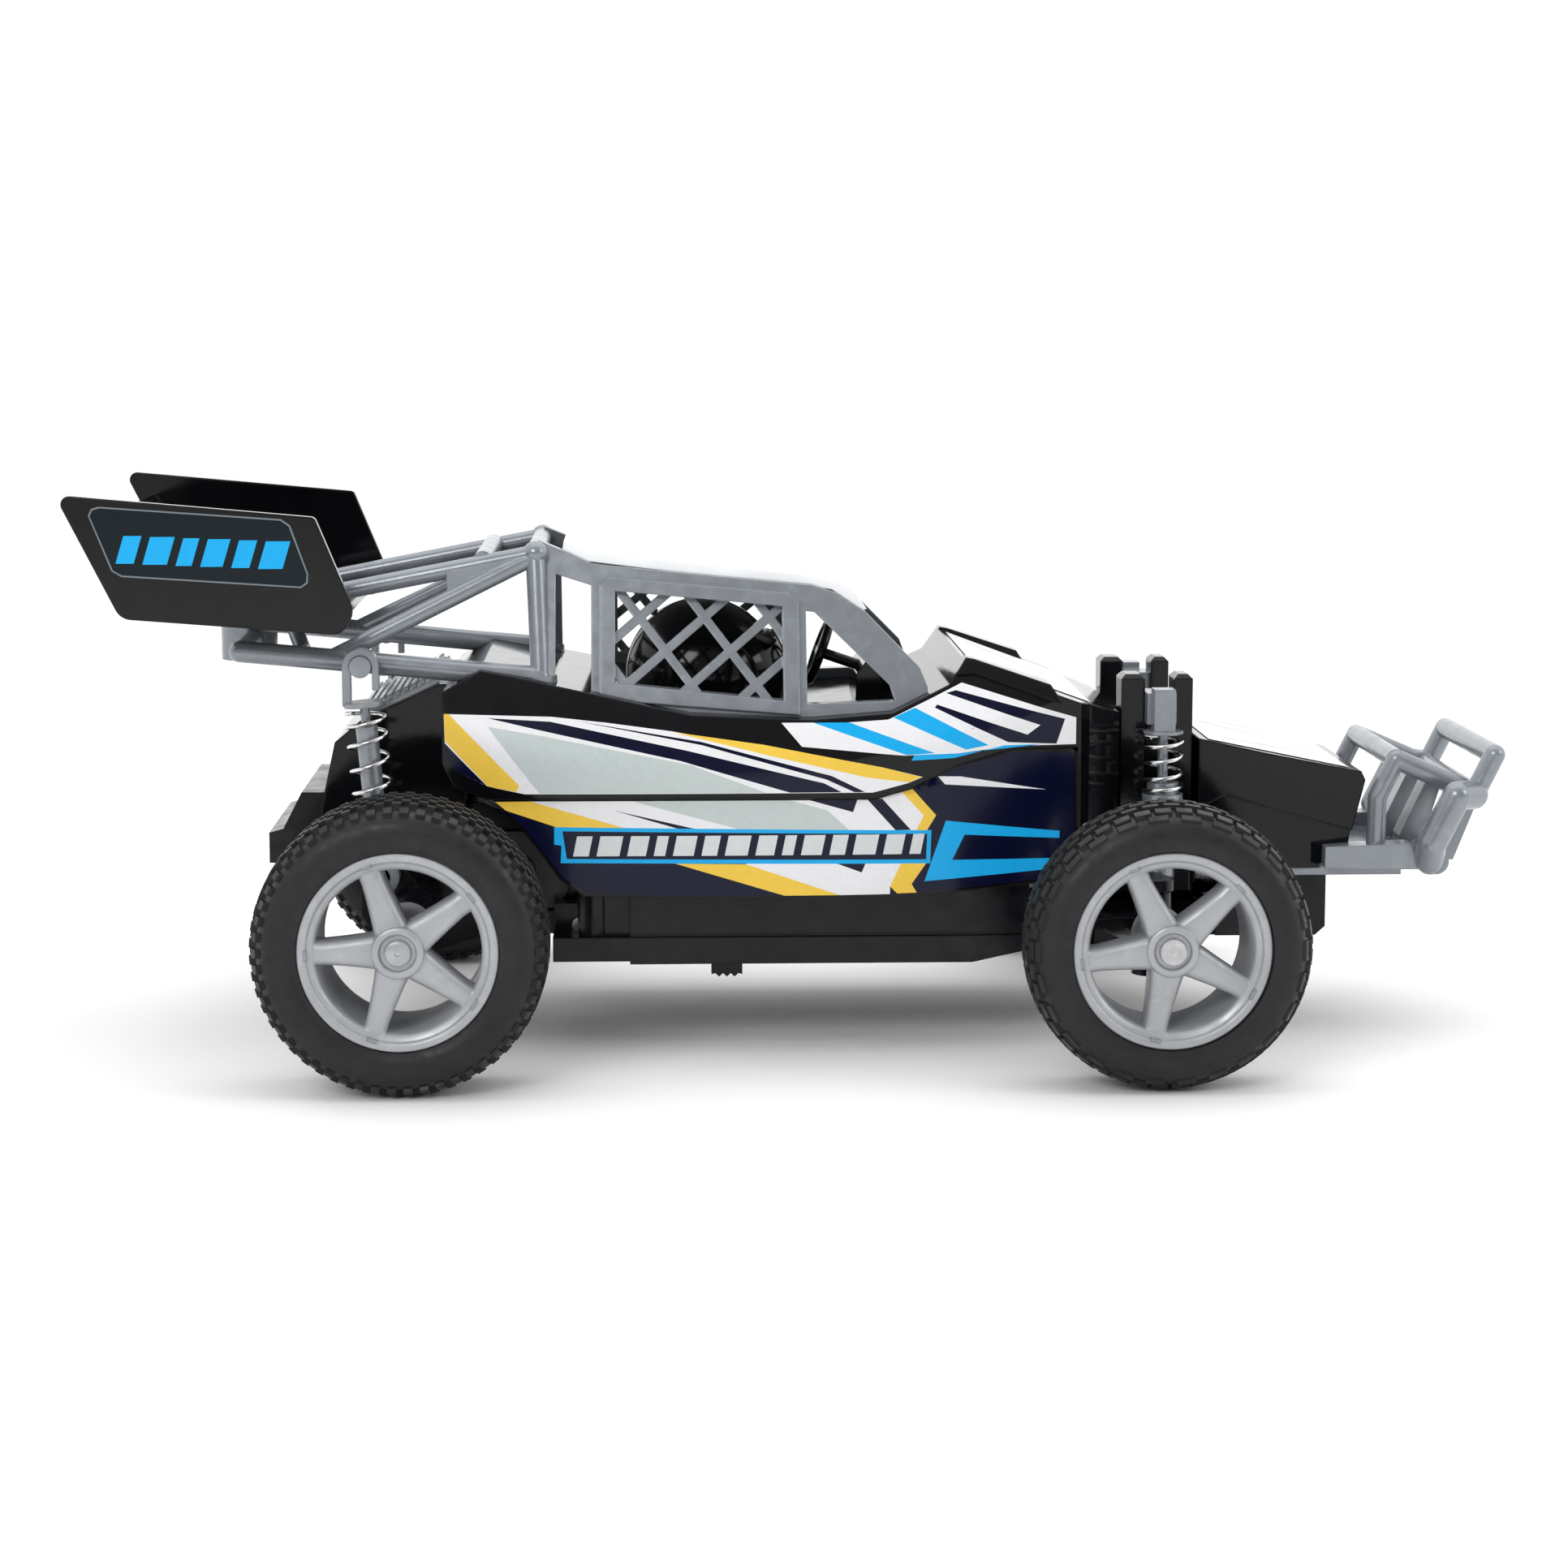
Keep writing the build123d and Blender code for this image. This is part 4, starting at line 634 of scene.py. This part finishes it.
SIDE_PANEL = [  # the cabin's side, above the crease
    ("white", [
        (-69.4, 66.8), (-69.2, 59.0), (-67.4, 56.0), (-61.0, 53.0), (-54.0, 51.5), (13.0, 51.5),
        (19.6, 53.2), (22.6, 54.4), (14.7, 56.4), (-25.7, 63.4), (-37.8, 65.0), (-48.7, 66.2),
    ]),
    ("yellow", [
        (-69.4, 66.8), (-68.4, 66.8), (-55.0, 53.2), (-55.6, 51.9), (-61.0, 53.0), (-69.2, 61.6),
    ]),
    ("navy", [(-69.3, 61.2), (-61.2, 53.1), (-67.4, 56.0), (-69.2, 59.0)]),
    ("sage", [(-61.0, 64.4), (-51.0, 62.7), (-22.0, 57.0), (-7.6, 51.6), (-51.0, 51.6), (-52.4, 53.2)]),
    ("navy", [
        (-61.0, 66.0), (-49.0, 65.3), (-22.5, 59.7), (3.5, 53.4), (7.0, 51.6), (-3.0, 51.6),
        (-24.0, 57.8), (-51.0, 63.7),
    ]),
    ("navy", [
        (-44.5, 65.5), (-20.0, 61.4), (5.0, 54.8), (11.5, 51.6), (9.4, 51.6), (4.0, 54.1),
        (-20.0, 60.8),
    ]),
    ("yellow", [
        (-25.7, 63.3), (-8.0, 60.8), (14.7, 56.4), (22.4, 54.4), (19.9, 53.4), (12.0, 54.4),
        (-8.0, 59.0),
    ]),
]  # fmt: skip
HOOD_PANEL = [  # the side of the hood, above the crease
    ("white", [
        (-4.6, 64.9), (8.0, 64.9), (16.0, 65.4), (25.0, 69.6), (30.4, 72.2), (52.6, 65.4), (52.6, 60.2),
        (40.2, 60.2), (29.5, 58.9), (19.0, 58.6), (-0.7, 60.4),
    ]),
    ("blue", [(1.5, 64.9), (8.5, 64.9), (25.0, 59.0), (19.5, 58.7)]),
    ("blue", [(17.0, 65.8), (21.2, 67.6), (35.4, 60.4), (31.0, 59.6)]),
    ("navy", [(25.0, 67.6), (27.4, 70.3), (29.2, 70.8), (50.4, 65.2), (48.7, 60.4), (39.2, 60.9)]),
    ("white", [(24.8, 68.4), (27.2, 70.3), (45.5, 64.1), (43.0, 62.3)]),
    ("blue", [(20.4, 57.6), (28.6, 58.0), (38.4, 60.3), (46.0, 60.4), (29.4, 58.9), (21.0, 58.7)]),
]  # fmt: skip
SILL_PANEL = [  # the lower side, below the crease
    ("navy", [
        (-59.8, 50.0), (-54.2, 45.0), (-46.8, 35.2), (-42.3, 32.2), (-30.0, 31.6), (1.0, 31.3),
        (21.6, 31.6), (48.2, 34.0), (52.6, 35.2), (52.6, 57.0), (51.4, 58.8), (40.6, 58.8),
        (29.4, 56.4), (20.0, 51.9), (13.6, 50.0),
    ]),
    ("white", [
        (-53.0, 50.0), (13.6, 50.0), (20.0, 51.9), (25.3, 46.8), (23.5, 43.9), (18.8, 37.0),
        (16.4, 31.5), (6.7, 31.4), (-11.5, 37.6), (-12.0, 44.4), (-34.9, 44.8),
    ]),
    ("yellow", [(-59.7, 49.9), (-52.9, 50.0), (-34.9, 44.8), (-47.4, 44.8), (-57.6, 48.2)]),
    ("sage", [(-33.4, 50.0), (-3.0, 50.0), (4.2, 48.0), (8.8, 43.8), (-12.0, 44.2)]),
    ("navy", [(-36.9, 48.2), (-20.6, 44.4), (-24.6, 44.6)]),
    ("navy", [(0.8, 50.0), (10.0, 50.0), (9.2, 47.6)]),
    ("navy", [(12.0, 50.0), (14.8, 50.2), (20.4, 44.0), (17.4, 44.0)]),
    ("yellow", [(18.6, 51.4), (20.6, 52.1), (25.3, 46.8), (23.5, 43.8), (21.4, 43.8), (22.9, 46.8)]),
    ("yellow", [(-25.1, 37.8), (-11.5, 37.6), (6.7, 31.4), (-4.1, 31.4)]),
    ("navy", [(6.0, 37.6), (11.6, 37.5), (10.9, 35.8)]),
    ("yellow", [(18.6, 37.6), (16.4, 33.0), (17.8, 31.6), (21.6, 31.7), (20.6, 33.4), (23.4, 37.4)]),
    ("navy", [(16.4, 33.0), (17.8, 31.6), (16.4, 31.5)]),
    ("blue", [(-48.4, 45.0), (24.4, 43.9), (24.2, 37.4), (-47.2, 38.0), (-47.0, 41.4), (-48.4, 41.6)]),
    ("navy", [(-46.8, 44.2), (23.6, 43.2), (23.4, 38.2), (-46.0, 38.8)]),
    ("blue", [
        (23.1, 33.9), (27.2, 45.7), (49.6, 43.2), (49.6, 41.8), (30.9, 42.9), (28.5, 38.0),
        (49.6, 37.9), (49.6, 35.9),
    ]),
    ("white", [(25.6, 54.4), (30.0, 54.3), (46.8, 51.4), (27.0, 52.8)]),
]  # fmt: skip
SILL_BARS = slanted_bars(-44.8, 20.4, 39.3, 43.2, (3.0, 4.4, 3.6, 2.2, 4.0), 1.5, 0.8)
SILL_PANEL += [("silver", bar) for bar in SILL_BARS]
WING_PANEL = [  # the wing's end plates; the grey outline under the teal leaves a thin grey ring, a painted highlight along the plates' edges
    # painted highlight: this grey shows only as a thin ring round the teal and stands in for light along
    # the plates' edges
    ("grey", [
        (-134.9, 105.4), (-134.3, 106.7), (-132.9, 107.1), (-98.9, 104.7), (-97.2, 103.5),
        (-94.0, 94.4), (-94.1, 92.6), (-95.4, 91.7), (-129.0, 93.9), (-130.8, 95.0),
    ]),
    ("teal", [
        (-134.6, 105.3), (-134.1, 106.4), (-132.8, 106.8), (-99.0, 104.4), (-97.5, 103.3),
        (-94.3, 94.4), (-94.4, 92.8), (-95.5, 92.0), (-128.9, 94.2), (-130.5, 95.1),
    ]),
]  # fmt: skip
WING_BARS = slanted_bars(-130.0, -101.5, 96.4, 101.6, (3.4, 4.6, 3.0, 4.2), 1.6, 1.6, -0.04)
WING_PANEL += [("blue", bar) for bar in WING_BARS]

HOOD_TOP = [  # the hood from above: x and y
    ("white", [(32.4, -27.4), (32.4, 27.4), (56.6, 26.0), (56.6, -26.0)]),
    ("sage", [(36.0, -20.0), (52.0, -8.0), (52.0, -4.0), (36.0, -14.0)]),
    ("sage", [(36.0, 20.0), (36.0, 14.0), (52.0, 4.0), (52.0, 8.0)]),
]
NOSE_TOP = [  # the nose from above: x and y
    ("white", [(80.6, -22.4), (80.6, 22.4), (109.4, 18.4), (109.4, -18.4)]),
    ("sage", [(84.0, -15.0), (106.0, -7.0), (106.0, -4.0), (84.0, -10.0)]),
    ("sage", [(84.0, 15.0), (84.0, 10.0), (106.0, 4.0), (106.0, 7.0)]),
]
label("label_hood_top", "body_shell", 0, HOOD_TOP)
label("label_nose_top", "body_shell", 0, NOSE_TOP)

for side, s in SIDES:
    label("label_cabin_" + side, "body_shell", s, SIDE_PANEL)
    label("label_hood_" + side, "body_shell", s, HOOD_PANEL)
    label("label_sill_" + side, "body_shell", s, SILL_PANEL)
    label("label_wing_" + side, "wing", s, WING_PANEL)


# ---- floor, light and camera --------------------------------------------------------------
def floor_sheet():
    """A plain pale floor."""
    mesh = bpy.data.meshes.new("floor")
    half = 12.0
    corners = [(-half, -half, 0), (half, -half, 0), (half, half, 0), (-half, half, 0)]
    mesh.from_pydata(corners, [], [(0, 1, 2, 3)])
    made = bpy.data.objects.new("floor", mesh)
    bpy.context.scene.collection.objects.link(made)
    paper = Surface("floor_paper", (0.9, 0.9, 0.89), 0.7)
    paper.tint(paper.ramp(paper.noise(3.0, 3.0), 0.0, 0.2), (0.88, 0.88, 0.88))
    mesh.materials.append(paper.material)


def softbox(name, place, aim, size, power):
    """A rectangular studio light."""
    light = bpy.data.lights.new(name, "AREA")
    light.shape = "RECTANGLE"
    light.size, light.size_y = size
    light.energy = power
    made = bpy.data.objects.new(name, light)
    bpy.context.scene.collection.objects.link(made)
    made.location = place
    made.rotation_euler = (Vector(aim) - Vector(place)).to_track_quat("-Z", "Y").to_euler()


def camera():
    """A long lens on the car's right side, a little above it and turned slightly forward."""
    made = bpy.data.objects.new("camera", bpy.data.cameras.new("camera"))
    bpy.context.scene.collection.objects.link(made)
    made.data.lens = 80.24
    made.data.sensor_width = 36.0
    made.data.clip_start = 0.01
    made.data.clip_end = 100.0
    ahead = Vector((0.03709, 0.98955, -0.13935))
    made.location = (-0.0291, -0.705, 0.1469)
    made.rotation_euler = ahead.to_track_quat("-Z", "Y").to_euler()
    bpy.context.scene.camera = made


def studio_world():
    """White overhead and behind the car, and greyer low down in front of it."""
    world = bpy.data.worlds.new("studio")
    world.use_nodes = True
    tree = world.node_tree
    coords = tree.nodes.new("ShaderNodeTexCoord")
    split = tree.nodes.new("ShaderNodeSeparateXYZ")
    tree.links.new(coords.outputs["Generated"], split.inputs["Vector"])
    shade = tree.nodes.new("ShaderNodeMapRange")
    shade.inputs["From Min"].default_value = -0.8
    shade.inputs["From Max"].default_value = 0.0
    shade.inputs["To Min"].default_value = 0.35
    shade.inputs["To Max"].default_value = 1.35
    tree.links.new(split.outputs["Y"], shade.inputs["Value"])
    background = tree.nodes["Background"]
    background.inputs["Color"].default_value = (1.0, 1.0, 1.0, 1.0)
    tree.links.new(shade.outputs["Result"], background.inputs["Strength"])
    bpy.context.scene.world = world


floor_sheet()
softbox("light_top", (0.0, 0.15, 1.1), (0, 0, 0.03), (1.4, 1.0), 3.0)
softbox("light_front", (-0.5, -1.1, 0.75), (0, 0, 0.04), (0.6, 0.4), 6.0)
softbox("light_nose", (1.2, -0.5, 0.7), (0, 0, 0.05), (0.5, 0.5), 3.0)
studio_world()
bpy.context.scene.view_settings.view_transform = "Standard"
camera()
